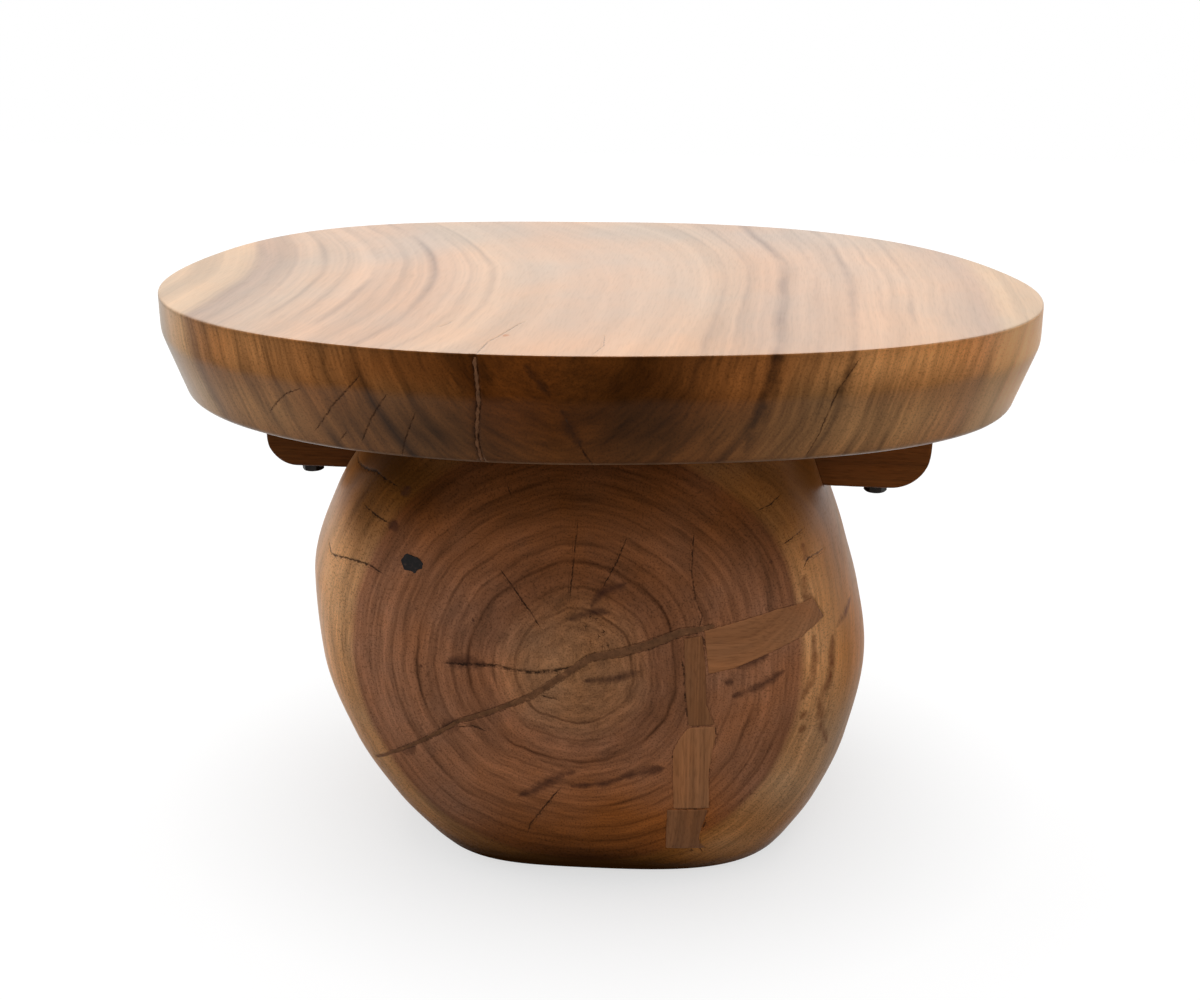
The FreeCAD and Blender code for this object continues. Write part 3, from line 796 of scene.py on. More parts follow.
def log_matrix(log):
    return Matrix.Translation((log.middle, 0, 0)) @ Matrix.Rotation(log.turn, 4, "Z")


def squarish(log, shares):
    """Cosines or sines of a circle's angles, bent to the log's squarish oval."""
    return np.sign(shares) * np.abs(shares) ** (2 / log.squareness)


def log_angles(log):
    """Angles round the log's oval section, closer together over the front face."""
    count = 580
    face_closeness = 3.2
    angles = np.linspace(0, 2 * math.pi, 6000, endpoint=False)
    x = squarish(log, np.cos(angles)) * log.left
    y = squarish(log, np.sin(angles)) * log.front
    steps = np.hypot(np.diff(x, append=x[0]), np.diff(y, append=y[0]))
    steps *= np.where(np.sin(angles) < 0, face_closeness, 1)
    run = np.concatenate([[0], np.cumsum(steps)])
    wanted = np.linspace(0, run[-1], count, endpoint=False)
    return np.interp(wanted, run, np.append(angles, 2 * math.pi))


def log_rings(log):
    """Rings of points from the middle of the top face out, down the side and back in below."""
    angles = log_angles(log)
    across = squarish(log, np.cos(angles))
    deep = squarish(log, np.sin(angles))

    def ring(height, inset, share=1.0):
        left, right, front, back = (reach - inset for reach in log_reaches(log, np.array([height])))
        x = across * np.where(across > 0, right, left) * share
        y = deep * np.where(deep > 0, back, front) * share
        return level_ring(x, y, height)

    turns = np.linspace(0, math.pi / 2, LOG_PLACES["arris"])
    rings = []
    for share in np.linspace(0, 1, LOG_PLACES["cap"])[1:-1]:
        rings.append(ring(log.top, log.arris, share))
    for turn in turns:
        rings.append(ring(log.top - log.arris * (1 - math.cos(turn)), log.arris * (1 - math.sin(turn))))
    side = np.linspace(log.top - log.arris, log.foot + log.arris, LOG_PLACES["side"])
    for height in side[1:]:
        rings.append(ring(height, 0))
    for turn in turns[1:]:
        height = log.foot + log.arris * (1 - math.sin(turn))
        rings.append(ring(height, log.arris * (1 - math.cos(turn))))
    for share in np.linspace(1, 0, LOG_PLACES["cap"])[1:-1]:
        rings.append(ring(log.foot, log.arris, share))
    return rings


def between(edges, rows, columns):
    """A grid of 2-D places between two lines, both even by length."""
    sides = []
    for edge in edges:
        edge = np.asarray(edge, float) * MM
        run = np.concatenate([[0], np.cumsum(np.linalg.norm(np.diff(edge, axis=0), axis=1))])
        wanted = np.linspace(0, run[-1], rows)
        sides.append(np.stack([np.interp(wanted, run, edge[:, axis]) for axis in (0, 1)], 1))
    share = np.linspace(0, 1, columns)[None, :, None]
    return sides[0][:, None] * (1 - share) + sides[1][:, None] * share


def polygon_of(edges):
    return tuple(edges[0]) + tuple(edges[1])[::-1]


def ribbon_edges(line, widths):
    """The two edges of a band along a line, with a half width at each of its points."""
    line = np.asarray(line, float)
    ahead = np.gradient(line, axis=0)
    ahead /= np.linalg.norm(ahead, axis=1, keepdims=True)
    sideways = np.stack([-ahead[:, 1], ahead[:, 0]], 1) * np.asarray(widths)[:, None]
    return line + sideways, line - sideways


# Materials

def live_output(made):
    """The first output of a node that its settings leave in use."""
    return next(s for s in made.outputs if s.enabled)


def node(tree, kind, inputs=None, ramp=None, **settings):
    """Adds a node with its settings. An input takes a value, a socket, or a node's first output."""
    made = tree.nodes.new(kind)
    for name, value in settings.items():
        setattr(made, name, value)
    if ramp:
        stops = made.color_ramp.elements
        while len(stops) < len(ramp):
            stops.new(0.5)
        for stop, (place, colour) in zip(stops, ramp):
            stop.position = place
            stop.color = (*colour, 1) if len(colour) == 3 else colour
    for name, value in (inputs or {}).items():
        if isinstance(name, int):
            socket = made.inputs[name]
        else:
            socket = next(s for s in made.inputs if s.enabled and s.name == name)
        if isinstance(value, bpy.types.Node):
            value = live_output(value)
        if isinstance(value, bpy.types.NodeSocket):
            tree.links.new(value, socket)
        else:
            socket.default_value = value
    return made


def math_node(tree, operation, *values):
    return node(tree, "ShaderNodeMath", dict(enumerate(values)), operation=operation)


def new_material(name, **finish):
    """An empty material with one shader, whose constant values are set on its own sockets."""
    material = bpy.data.materials.new(name)
    material.use_nodes = True
    tree = material.node_tree
    tree.nodes.clear()
    shader = node(tree, "ShaderNodeBsdfPrincipled", finish)
    node(tree, "ShaderNodeOutputMaterial", {"Surface": shader})
    return material, tree, shader


def grey(value):
    return (value, value, value)


def remap(tree, value, low, high, to_low=0.0, to_high=1.0, kind="LINEAR"):
    """A value moved from one span to another and held inside it."""
    span = {"From Min": low, "From Max": high, "To Min": to_low, "To Max": to_high}
    return node(tree, "ShaderNodeMapRange", {"Value": value, **span}, interpolation_type=kind)


def cloudy(tree, place, scale, detail, roughness=0.5):
    """Soft noise from about 0.3 to 0.7 at a place."""
    return node(tree, "ShaderNodeTexNoise",
                {"Vector": place, "Scale": scale, "Detail": detail, "Roughness": roughness})


def centred(tree, value):
    """Noise moved so that it swings round 0."""
    return math_node(tree, "SUBTRACT", value, 0.5)


def by_share(tree, share, first, second):
    """A number between two others."""
    return node(tree, "ShaderNodeMix", {"Factor": share, "A": first, "B": second})


def tinted(tree, colour, share, other, blend="MIX"):
    """A colour with a share of another one. A plain colour is a tuple of three."""
    first, second = ((*end, 1) if isinstance(end, tuple) else end for end in (colour, other))
    return node(tree, "ShaderNodeMix", {"Factor": share, "A": first, "B": second},
                data_type="RGBA", blend_type=blend)


def shaded(tree, colour, light):
    """The colour made lighter or darker by a factor."""
    level = node(tree, "ShaderNodeCombineXYZ", {"X": light, "Y": light, "Z": light})
    return tinted(tree, colour, 1.0, level, "MULTIPLY")


def object_place(tree):
    return node(tree, "ShaderNodeTexCoord").outputs["Object"]


def part_of(tree, vector, axis):
    return node(tree, "ShaderNodeSeparateXYZ", {"Vector": vector}).outputs[axis]


def dress(tree, shader, colour, rough, height, bump, depth):
    """Connects the shader's colour and roughness, and a bump of a strength and a depth."""
    relief = node(tree, "ShaderNodeBump", {"Height": height, "Strength": bump, "Distance": depth})
    tree.links.new(live_output(colour), shader.inputs["Base Color"])
    tree.links.new(live_output(rough), shader.inputs["Roughness"])
    tree.links.new(live_output(relief), shader.inputs["Normal"])


def carried(tree, name):
    """The number that the mesh carries at each vertex under a name."""
    return node(tree, "ShaderNodeAttribute", attribute_name=name).outputs["Fac"]


def mixed(first, second, share):
    return tuple(a * (1 - share) + b * share for a, b in zip(first, second))


def scaled(colour, factor):
    return tuple(c * factor for c in colour)


def bent(tree, value, strength, rest):
    """The resting number less the strength times the value squared."""
    squared = math_node(tree, "MULTIPLY", value, value)
    return math_node(tree, "MULTIPLY_ADD", squared, -strength, rest)


def pith_line(tree, wood, across, along):
    """X of the pith: it arcs away on the slab's left side and bows late on its right side."""
    pith_x = wood["pith"][0]
    if "left_arc" not in wood:
        return pith_x
    strength, peak = wood["left_arc"]
    arced = bent(tree, math_node(tree, "SUBTRACT", along, peak), strength, pith_x)
    strength, start = wood["right_bow"]
    past = math_node(tree, "MAXIMUM", math_node(tree, "SUBTRACT", along, start), 0.0)
    bowed = bent(tree, past, strength, pith_x)
    merge = 120 * MM
    right_share = remap(tree, across, pith_x - merge, pith_x + merge, kind="SMOOTHSTEP")
    return by_share(tree, right_share, arced, bowed)


def tree_place(tree, wood):
    """Where a point lies in the tree that the piece was cut from.

    Gives its place, that place slowed along the grain, which way the surface faces, the heading
    and the distance from the pith, and the height along it.
    """
    place = node(tree, "ShaderNodeTexCoord")
    turn = wood.get("turn", (0, 0, 0))
    solid = node(tree, "ShaderNodeMapping", {"Vector": place.outputs["Object"], "Rotation": turn,
                                             "Location": wood.get("shift", (0, 0, 0))})
    facing = node(tree, "ShaderNodeMapping", {"Vector": place.outputs["Normal"], "Rotation": turn},
                  vector_type="NORMAL")

    # The fibres wander: a drift of the whole pattern, slower still along the grain
    drift_scale = 7.0
    slow = node(tree, "ShaderNodeMapping", {"Vector": solid, "Scale": (1, wood["slow_along"], 1)})
    drift = cloudy(tree, slow, drift_scale, 3.0).outputs["Color"]
    swing = node(tree, "ShaderNodeVectorMath", {0: drift, 1: grey(0.5)}, operation="SUBTRACT")
    pushed = node(tree, "ShaderNodeVectorMath", {0: swing, 1: grey(wood["drift"]), 2: solid},
                  operation="MULTIPLY_ADD")
    across, along, up = node(tree, "ShaderNodeSeparateXYZ", {"Vector": pushed}).outputs
    sideways = math_node(tree, "SUBTRACT", across, pith_line(tree, wood, across, along))
    upward = math_node(tree, "SUBTRACT", up, wood["pith"][1])
    if "arch" in wood:
        # The tree grew off centre: its outer rings sit higher than its inner ones
        crest = 40 * MM
        spread = math_node(tree, "MULTIPLY_ADD", sideways, sideways, crest ** 2)
        spread = math_node(tree, "SUBTRACT", math_node(tree, "SQRT", spread), crest)
        upward = math_node(tree, "MULTIPLY_ADD", spread, -wood["arch"], upward)
    spoke = node(tree, "ShaderNodeCombineXYZ", {"X": sideways, "Z": upward})
    radius = node(tree, "ShaderNodeVectorMath", {0: spoke}, operation="LENGTH").outputs["Value"]
    heading = node(tree, "ShaderNodeVectorMath", {0: spoke}, operation="NORMALIZE")

    # Rings are a little out of round, less so near the pith
    spokes = 1.6
    height = node(tree, "ShaderNodeCombineXYZ", {"Y": along})
    round_place = node(tree, "ShaderNodeVectorMath", {0: heading, 1: grey(spokes), 2: height},
                       operation="MULTIPLY_ADD")
    uneven = centred(tree, cloudy(tree, round_place, 1.0, 3.0))
    reach = remap(tree, radius, 0.0, 60 * MM, 0.0, 2 * wood["out_of_round"])
    ring = math_node(tree, "MULTIPLY_ADD", uneven, reach, radius)
    return solid, slow, facing, heading, ring, along


def growth_tones(tree, wood, heading, ring, along, end_share):
    """Light and dark of growth rings, broad to fine; each set comes and goes round the tree.

    Each set has a ring width, how often it changes round the tree, and its strength across and
    along the fibres. Along the fibres the figure is calm close to the pith.
    """
    calm = math_node(tree, "MAXIMUM", remap(tree, ring, 20 * MM, 110 * MM, 0.4, 1.0), end_share)
    tones = []
    for width, spokes, across_fibres, along_fibres in wood["rings"]:
        steps = node(tree, "ShaderNodeCombineXYZ", {"Y": math_node(tree, "DIVIDE", ring, width)})
        ring_place = node(tree, "ShaderNodeVectorMath", {0: heading, 1: (spokes, 0, spokes), 2: steps},
                          operation="MULTIPLY_ADD")
        change = math_node(tree, "MULTIPLY", along, wood["ring_change"])
        bands = node(tree, "ShaderNodeTexNoise",
                     {"Vector": ring_place, "W": change, "Scale": 1.0, "Detail": 2.0, "Roughness": 0.6},
                     noise_dimensions="4D")
        strength = remap(tree, end_share, 0.0, 1.0, along_fibres, across_fibres)
        strength = math_node(tree, "MULTIPLY", calm, strength)
        tones.append(math_node(tree, "MULTIPLY", centred(tree, bands), strength))
    return tones


def marked(tree, wood, colour, height, solid):
    """Adds the marks that the mesh carries: smudges with painted shade in the rim filler's bed, bark,
    painted sheen, cracks and joints.
    """
    ragged = cloudy(tree, solid, 1 / (5 * MM), 5.0, 0.65)
    shake = centred(tree, ragged)
    drifted = centred(tree, cloudy(tree, solid, 1 / (12 * MM), 4.0, 0.6))
    for name, strength in (("smudge", 0.7), ("bark", 0.8)):
        amount = carried(tree, name)
        torn = math_node(tree, "MULTIPLY_ADD", drifted, 1.9, amount)
        torn = math_node(tree, "MULTIPLY_ADD", shake, 0.5, torn)
        share = math_node(tree, "MULTIPLY", remap(tree, torn, 0.1, 0.95, 0.0, strength),
                          remap(tree, amount, 0.0, 0.35))
        colour = tinted(tree, colour, share, wood[name + "_colour"])
    # Painted sheen: a pale wash that stands in for a reflection, where the mesh says so
    colour = tinted(tree, colour, carried(tree, "haze"), wood["haze_colour"])

    # Cracks and joints: a shaken dark line, broken up, where the mesh says that one is near
    fine = centred(tree, cloudy(tree, solid, 1 / (2.6 * MM), 2.0))
    side = math_node(tree, "MULTIPLY_ADD", fine, 3.0, carried(tree, "crack_side"))
    side = math_node(tree, "MULTIPLY_ADD", shake, 4.0, side)
    line = remap(tree, math_node(tree, "ABSOLUTE", side), 0.3, 1.5, 1.0, 0.0)
    close = remap(tree, carried(tree, "crack_near"), 0.25, 0.5)
    broken = remap(tree, ragged, 0.36, 0.54, 0.25, 1.0)
    crack = math_node(tree, "MULTIPLY", math_node(tree, "MULTIPLY", line, close), broken)
    colour = tinted(tree, colour, math_node(tree, "MULTIPLY", crack, 0.9), wood["crack_colour"])
    return colour, math_node(tree, "MULTIPLY_ADD", crack, -1.6, height)


def wood_material(name, wood, finish):
    """Solid wood: growth rings round a pith line along Y, end grain darker than long grain.

    wood holds the pith's x and z and how its line arcs and bows, the radius where sapwood
    starts, the colour stops along the fibres (long) and across them (end), the dark streak
    rings, the ring sets, the tints, the colours of marks, and the gloss of each kind of face.
    """
    material, tree, shader = new_material(name, **finish)
    solid, slow, facing, heading, ring, along = tree_place(tree, wood)

    # End grain shows where the surface faces along the fibres
    fibre_facing = math_node(tree, "ABSOLUTE", part_of(tree, facing, "Y"))
    end_share = remap(tree, fibre_facing, *wood["end_span"], kind="SMOOTHSTEP")
    tones = growth_tones(tree, wood, heading, ring, along, end_share)
    tone = math_node(tree, "ADD", math_node(tree, "ADD", tones[0], tones[1]), tones[2])

    # Pores: long dark flecks along the fibres, dots across them
    wide = 1 / wood["pore_width"]
    narrow = (wide, 1 / wood["pore_length"], wide)
    pore_place = node(tree, "ShaderNodeMapping", {"Vector": solid, "Scale": narrow})
    pores = math_node(tree, "MULTIPLY", remap(tree, cloudy(tree, pore_place, 1.0, 2.0), 0.5, 0.7),
                      remap(tree, end_share, 0.0, 1.0, *wood["pore_span"]))

    # Colour by radius, shifted a little by the broad rings so that the sapwood edge is ragged
    share = math_node(tree, "DIVIDE", ring, wood["heart_radius"] * wood["ramp_end"])
    share = math_node(tree, "MULTIPLY_ADD", tones[0], wood["ragged"], share)
    long_colour, end_colour, streak = (
        node(tree, "ShaderNodeValToRGB", {"Fac": share}, ramp=wood[stops])
        for stops in ("long_stops", "end_stops", "streak_stops"))
    colour = tinted(tree, long_colour, end_share, end_colour)

    # Dark streak rings, broken up so that they come and go
    presence = remap(tree, cloudy(tree, slow, 14.0, 3.0), 0.36, 0.6, 0.15, 1.0)
    streak_share = math_node(tree, "MULTIPLY", streak, presence)
    streak_share = math_node(tree, "MULTIPLY", streak_share,
                             remap(tree, end_share, 0.0, 1.0, 0.75, 1.2))
    streak_tone = tinted(tree, wood["long_streak"], end_share, wood["end_streak"])
    colour = tinted(tree, colour, streak_share, streak_tone)

    # Cloudy figure, and the patches that the mesh carries: warmer, cooler, lighter and darker wood, and
    # painted light and shade
    cloud = remap(tree, cloudy(tree, slow, wood["cloud_scale"], 4.0, 0.6), 0.3, 0.7)
    warmth = remap(tree, cloud, 0.0, 1.0, *wood["cloud_span"])
    light = math_node(tree, "ADD", tone, 1.0)
    if wood["marks"]:
        warmth = math_node(tree, "MULTIPLY_ADD", carried(tree, "warmth"), 0.6, warmth)
        patch_light = math_node(tree, "ADD", carried(tree, "lightness"), 1.0)
        light = math_node(tree, "MULTIPLY", light, patch_light)
    tint = tinted(tree, wood["cool_tint"], warmth, wood["warm_tint"])
    colour = tinted(tree, colour, 1.0, tint, "MULTIPLY")
    light = math_node(tree, "MULTIPLY", light, math_node(tree, "MULTIPLY_ADD", pores, -1.0, 1.0))
    darkest = 0.12
    colour = shaded(tree, colour, math_node(tree, "MAXIMUM", light, darkest))
    height = math_node(tree, "MULTIPLY_ADD", pores, -2.0, math_node(tree, "MULTIPLY", tone, 0.25))
    if wood["marks"]:
        colour, height = marked(tree, wood, colour, height, solid)

    # Gloss: most on faces that look up, least on end grain and where the mesh says dull
    rough = math_node(tree, "MULTIPLY_ADD", pores, 0.5, wood["roughness"])
    rough = math_node(tree, "MULTIPLY_ADD", end_share, 0.12, rough)
    lying = remap(tree, part_of(tree, facing, "Z"), 0.3, 0.8, wood["side_gloss"], wood["long_gloss"])
    gloss = by_share(tree, end_share, lying, wood["end_gloss"])
    if wood["marks"]:
        shine = math_node(tree, "SUBTRACT", 1.0, carried(tree, "dull"))
        gloss = math_node(tree, "MULTIPLY", gloss, shine)
    tree.links.new(live_output(gloss), shader.inputs["Specular IOR Level"])
    dress(tree, shader, colour, rough, height, wood["bump"], 0.4 * MM)
    return material


def ring_stops(pairs, end):
    """Colour stops at shares of the heartwood's radius, for a ramp that ends at a share."""
    return [(place / end, tuple(colour)) for place, colour in pairs]


def streak_lines(rings, end):
    """Ramp stops for dark rings given as (share of heart radius, half width, strength)."""
    stops = [(0.0, grey(0))]
    for place, half, strength in rings:
        for edge, level in ((place - half, 0), (place, strength), (place + half, 0)):
            stops.append((edge / end, grey(level)))
    return stops


def oiled_slab_wood(slab):
    """Oiled rain-tree wood, hand planed and sanded: satin, with ring streaks and pale sapwood."""
    heart, outer = slab.end_heart, slab.end_outer
    end = 1.3
    return wood_material("oiled sanded slab hardwood", {
        "pith": (16 * MM, 478 * MM), "left_arc": (0.95, -0.11), "right_bow": (0.504, -0.03),
        "arch": 0.25, "heart_radius": 328 * MM, "ramp_end": end, "ragged": 0.02,
        "end_stops": ring_stops((
            (0.0, heart), (0.2, scaled(heart, 0.8)), (0.36, mixed(heart, outer, 0.3)),
            (0.5, mixed(heart, outer, 0.6)), (0.7, outer), (0.95, outer), (1.01, slab.sapwood),
        ), end),
        "long_stops": ring_stops((
            (0.0, slab.long_heart), (0.3, mixed(slab.long_heart, slab.long_sapwood, 0.3)),
            (0.42, mixed(slab.long_heart, slab.long_streak, 0.12)), (0.6, slab.long_heart),
            (0.8, mixed(slab.long_heart, slab.long_sapwood, 0.25)),
            (0.95, mixed(slab.long_heart, slab.long_streak, 0.25)), (1.01, slab.long_sapwood),
            (1.25, scaled(slab.long_sapwood, 1.03)),
        ), end),
        "streak_stops": streak_lines((
            (0.3, 0.014, 0.4), (0.36, 0.01, 0.3), (0.458, 0.02, 0.82), (0.545, 0.014, 0.35),
            (0.631, 0.018, 0.65), (0.70, 0.012, 0.3), (0.775, 0.014, 0.5), (0.86, 0.01, 0.35),
            (0.965, 0.025, 0.45),
        ), end),
        "long_streak": tuple(slab.long_streak), "end_streak": linear("#2C190E"), "ring_change": 2.5,
        "rings": ((30 * MM, 1.2, 1.0, 0.75), (8.5 * MM, 2.5, 1.35, 0.5), (2.6 * MM, 7.0, 1.1, 0.22)),
        "pore_width": 1.5 * MM, "pore_length": 24 * MM, "pore_span": (0.07, 0.3),
        "end_span": (0.45, 0.85), "slow_along": 0.6, "drift": 26 * MM, "out_of_round": 8 * MM,
        "warm_tint": (1.16, 0.97, 0.78), "cool_tint": (0.9, 0.98, 1.06), "cloud_scale": 9.0,
        "cloud_span": (0.15, 0.85),
        "marks": True, "smudge_colour": linear("#1D100A"), "bark_colour": linear("#B8691C"),
        "haze_colour": linear("#A08C80"), "crack_colour": linear("#2C160B"),
        "roughness": 0.3, "bump": 0.35, "long_gloss": 0.5, "side_gloss": 0.15, "end_gloss": 0.05,
    }, {"IOR": 1.48})


def oiled_log_wood(log):
    """Oiled log slice, sanded across the fibres: rings round the pith, pale ragged sapwood."""
    core, heart, dark = log.core, log.heart, log.dark_ring
    end = 1.5
    return wood_material("oiled sanded log end grain", {
        "pith": (-18 * MM, 200 * MM), "heart_radius": log.heart_radius, "ramp_end": end,
        "ragged": 0.012,
        "end_stops": ring_stops((
            (0.0, core), (0.22, mixed(core, heart, 0.3)), (0.30, mixed(core, heart, 0.6)),
            (0.37, mixed(heart, dark, 0.2)), (0.47, mixed(heart, dark, 0.25)),
            (0.54, mixed(heart, dark, 0.1)), (0.7, heart), (0.9, mixed(heart, dark, 0.05)),
            (0.985, mixed(heart, dark, 0.25)), (1.02, log.sapwood),
        ), end),
        "long_stops": ring_stops((
            (0.0, heart), (0.97, heart), (1.03, log.sapwood),
        ), end),
        "streak_stops": streak_lines((
            (0.255, 0.007, 0.8), (0.345, 0.01, 0.4), (0.45, 0.012, 0.75), (0.52, 0.008, 0.4),
            (0.6, 0.008, 0.5), (0.68, 0.008, 0.4), (0.74, 0.006, 0.4), (0.8, 0.01, 0.5),
            (0.88, 0.008, 0.4), (0.94, 0.008, 0.4),
        ), end),
        "long_streak": scaled(dark, 0.7), "end_streak": scaled(dark, 0.7), "ring_change": 2.0,
        "rings": ((15 * MM, 1.0, 1.0, 0.6), (5.6 * MM, 2.0, 1.1, 0.7), (2.2 * MM, 5.0, 1.0, 0.6)),
        "pore_width": 1.3 * MM, "pore_length": 18 * MM, "pore_span": (0.15, 0.42),
        "end_span": (0.3, 0.75), "slow_along": 0.35, "drift": 10 * MM, "out_of_round": 8 * MM,
        "warm_tint": (1.28, 0.86, 0.4), "cool_tint": (0.95, 0.985, 1.15), "cloud_scale": 20.0,
        "cloud_span": (0.1, 0.4),
        "marks": True, "smudge_colour": linear("#3A211C"), "bark_colour": tuple(log.bark),
        "haze_colour": linear("#A08C80"), "crack_colour": linear("#1C110B"),
        "roughness": 0.38, "bump": 0.4, "long_gloss": 0.2, "side_gloss": 0.16, "end_gloss": 0.06,
    }, {"IOR": 1.48})


def sawn_side_grain(name, colour, shift, turn, roughness, marks=False):
    """Plain side grain of the same tree: straight streaks along the fibres, a dull oiled sheen."""
    return wood_material(name, {
        "pith": (0.0, -90 * MM), "heart_radius": 300 * MM, "ramp_end": 1.5, "ragged": 0.02,
        "shift": shift, "turn": turn,
        "end_stops": [(0.0, scaled(colour, 0.7)), (1.0, scaled(colour, 0.8))],
        "long_stops": [(0.0, colour), (0.4, scaled(colour, 0.85)), (1.0, scaled(colour, 1.1))],
        "streak_stops": streak_lines(((0.3, 0.03, 0.35), (0.42, 0.02, 0.3), (0.62, 0.04, 0.3)), 1.5),
        "long_streak": scaled(colour, 0.45), "end_streak": scaled(colour, 0.45), "ring_change": 3.0,
        "rings": ((12 * MM, 1.5, 0.6, 0.6), (4 * MM, 3.0, 0.8, 0.8), (1.7 * MM, 6.0, 0.7, 0.8)),
        "pore_width": 1.2 * MM, "pore_length": 16 * MM, "pore_span": (0.25, 0.3),
        "end_span": (0.5, 0.9), "slow_along": 0.35, "drift": 8 * MM, "out_of_round": 6 * MM,
        "warm_tint": (1.12, 0.98, 0.82), "cool_tint": (0.92, 0.98, 1.05), "cloud_scale": 24.0,
        "cloud_span": (0.15, 0.85),
        "marks": marks, "smudge_colour": scaled(colour, 0.3), "bark_colour": scaled(colour, 0.4),
        "haze_colour": colour, "crack_colour": scaled(colour, 0.1),
        "roughness": roughness, "bump": 0.4, "long_gloss": 0.1, "side_gloss": 0.1, "end_gloss": 0.1,
    }, {"IOR": 1.48})


def trowelled_filler(name, colour, roughness):
    """Wood dust in glue, trowelled into a crack and sanded: mottled, matt, with dark grit."""
    material, tree, shader = new_material(name, **{"IOR": 1.5, "Specular IOR Level": 0.12})
    place = object_place(tree)
    mottle = cloudy(tree, place, 1 / (9 * MM), 5.0, 0.65)
    grit = node(tree, "ShaderNodeTexVoronoi", {"Vector": place, "Scale": 1 / (2.2 * MM)})
    base = node(tree, "ShaderNodeValToRGB", {"Fac": mottle}, ramp=[
        (0.32, scaled(colour, 0.6)), (0.5, colour), (0.6, scaled(colour, 1.2)),
        (0.68, scaled(colour, 2.0))])
    dark = remap(tree, grit, 0.12, 0.3, 0.45, 0.0)
    gritty = tinted(tree, base, dark, scaled(colour, 0.2))
    rough = math_node(tree, "MULTIPLY_ADD", mottle, 0.25, roughness)
    dress(tree, shader, gritty, rough, math_node(tree, "ADD", mottle, grit), 0.5, 0.4 * MM)
    return material


def specked(name, finish, grain, detail, stops, rough_gain, roughness, bump, depth):
    """An even material whose specks of a grain size carry its colour, roughness and relief."""
    material, tree, shader = new_material(name, **finish)
    specks = cloudy(tree, object_place(tree), 1 / grain, detail)
    base = node(tree, "ShaderNodeValToRGB", {"Fac": specks}, ramp=stops)
    rough = math_node(tree, "MULTIPLY_ADD", specks, rough_gain, roughness)
    dress(tree, shader, base, rough, specks, bump, depth)
    return material


def worked_metal(name, colour, grain, roughness):
    """Forged or rolled steel with a thin finish: soft uneven gloss and faint tool marks."""
    stops = [(0.3, scaled(colour, 0.6)), (0.7, scaled(colour, 1.2))]
    return specked(name, {"Metallic": 1.0}, grain, 4.0, stops, 0.3, roughness, 0.3, 0.1 * MM)


def moulded_nylon(name, colour):
    """Moulded nylon: dark, even, with the fine grain of the mould and a low sheen."""
    stops = [(0.3, scaled(colour, 0.85)), (0.7, scaled(colour, 1.2))]
    return specked(name, {"IOR": 1.53}, 1.2 * MM, 2.0, stops, 0.15, 0.42, 0.25, 0.1 * MM)


def dark_resin(name, colour):
    """Poured black resin over an old knot: glossy and dark, with sunken brown specks."""
    stops = [(0.45, scaled(colour, 0.6)), (0.62, scaled(colour, 1.6)), (0.75, linear("#4A3A30"))]
    finish = {"IOR": 1.5, "Specular IOR Level": 0.15}
    return specked(name, finish, 3 * MM, 4.0, stops, 0.3, 0.2, 0.5, 0.4 * MM)


def finish_node(name, material):
    """Gives a kept CAD node its material."""
    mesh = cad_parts[name].data
    mesh.materials.clear()
    mesh.materials.append(material)


# Operators, one for each piece or group of like pieces

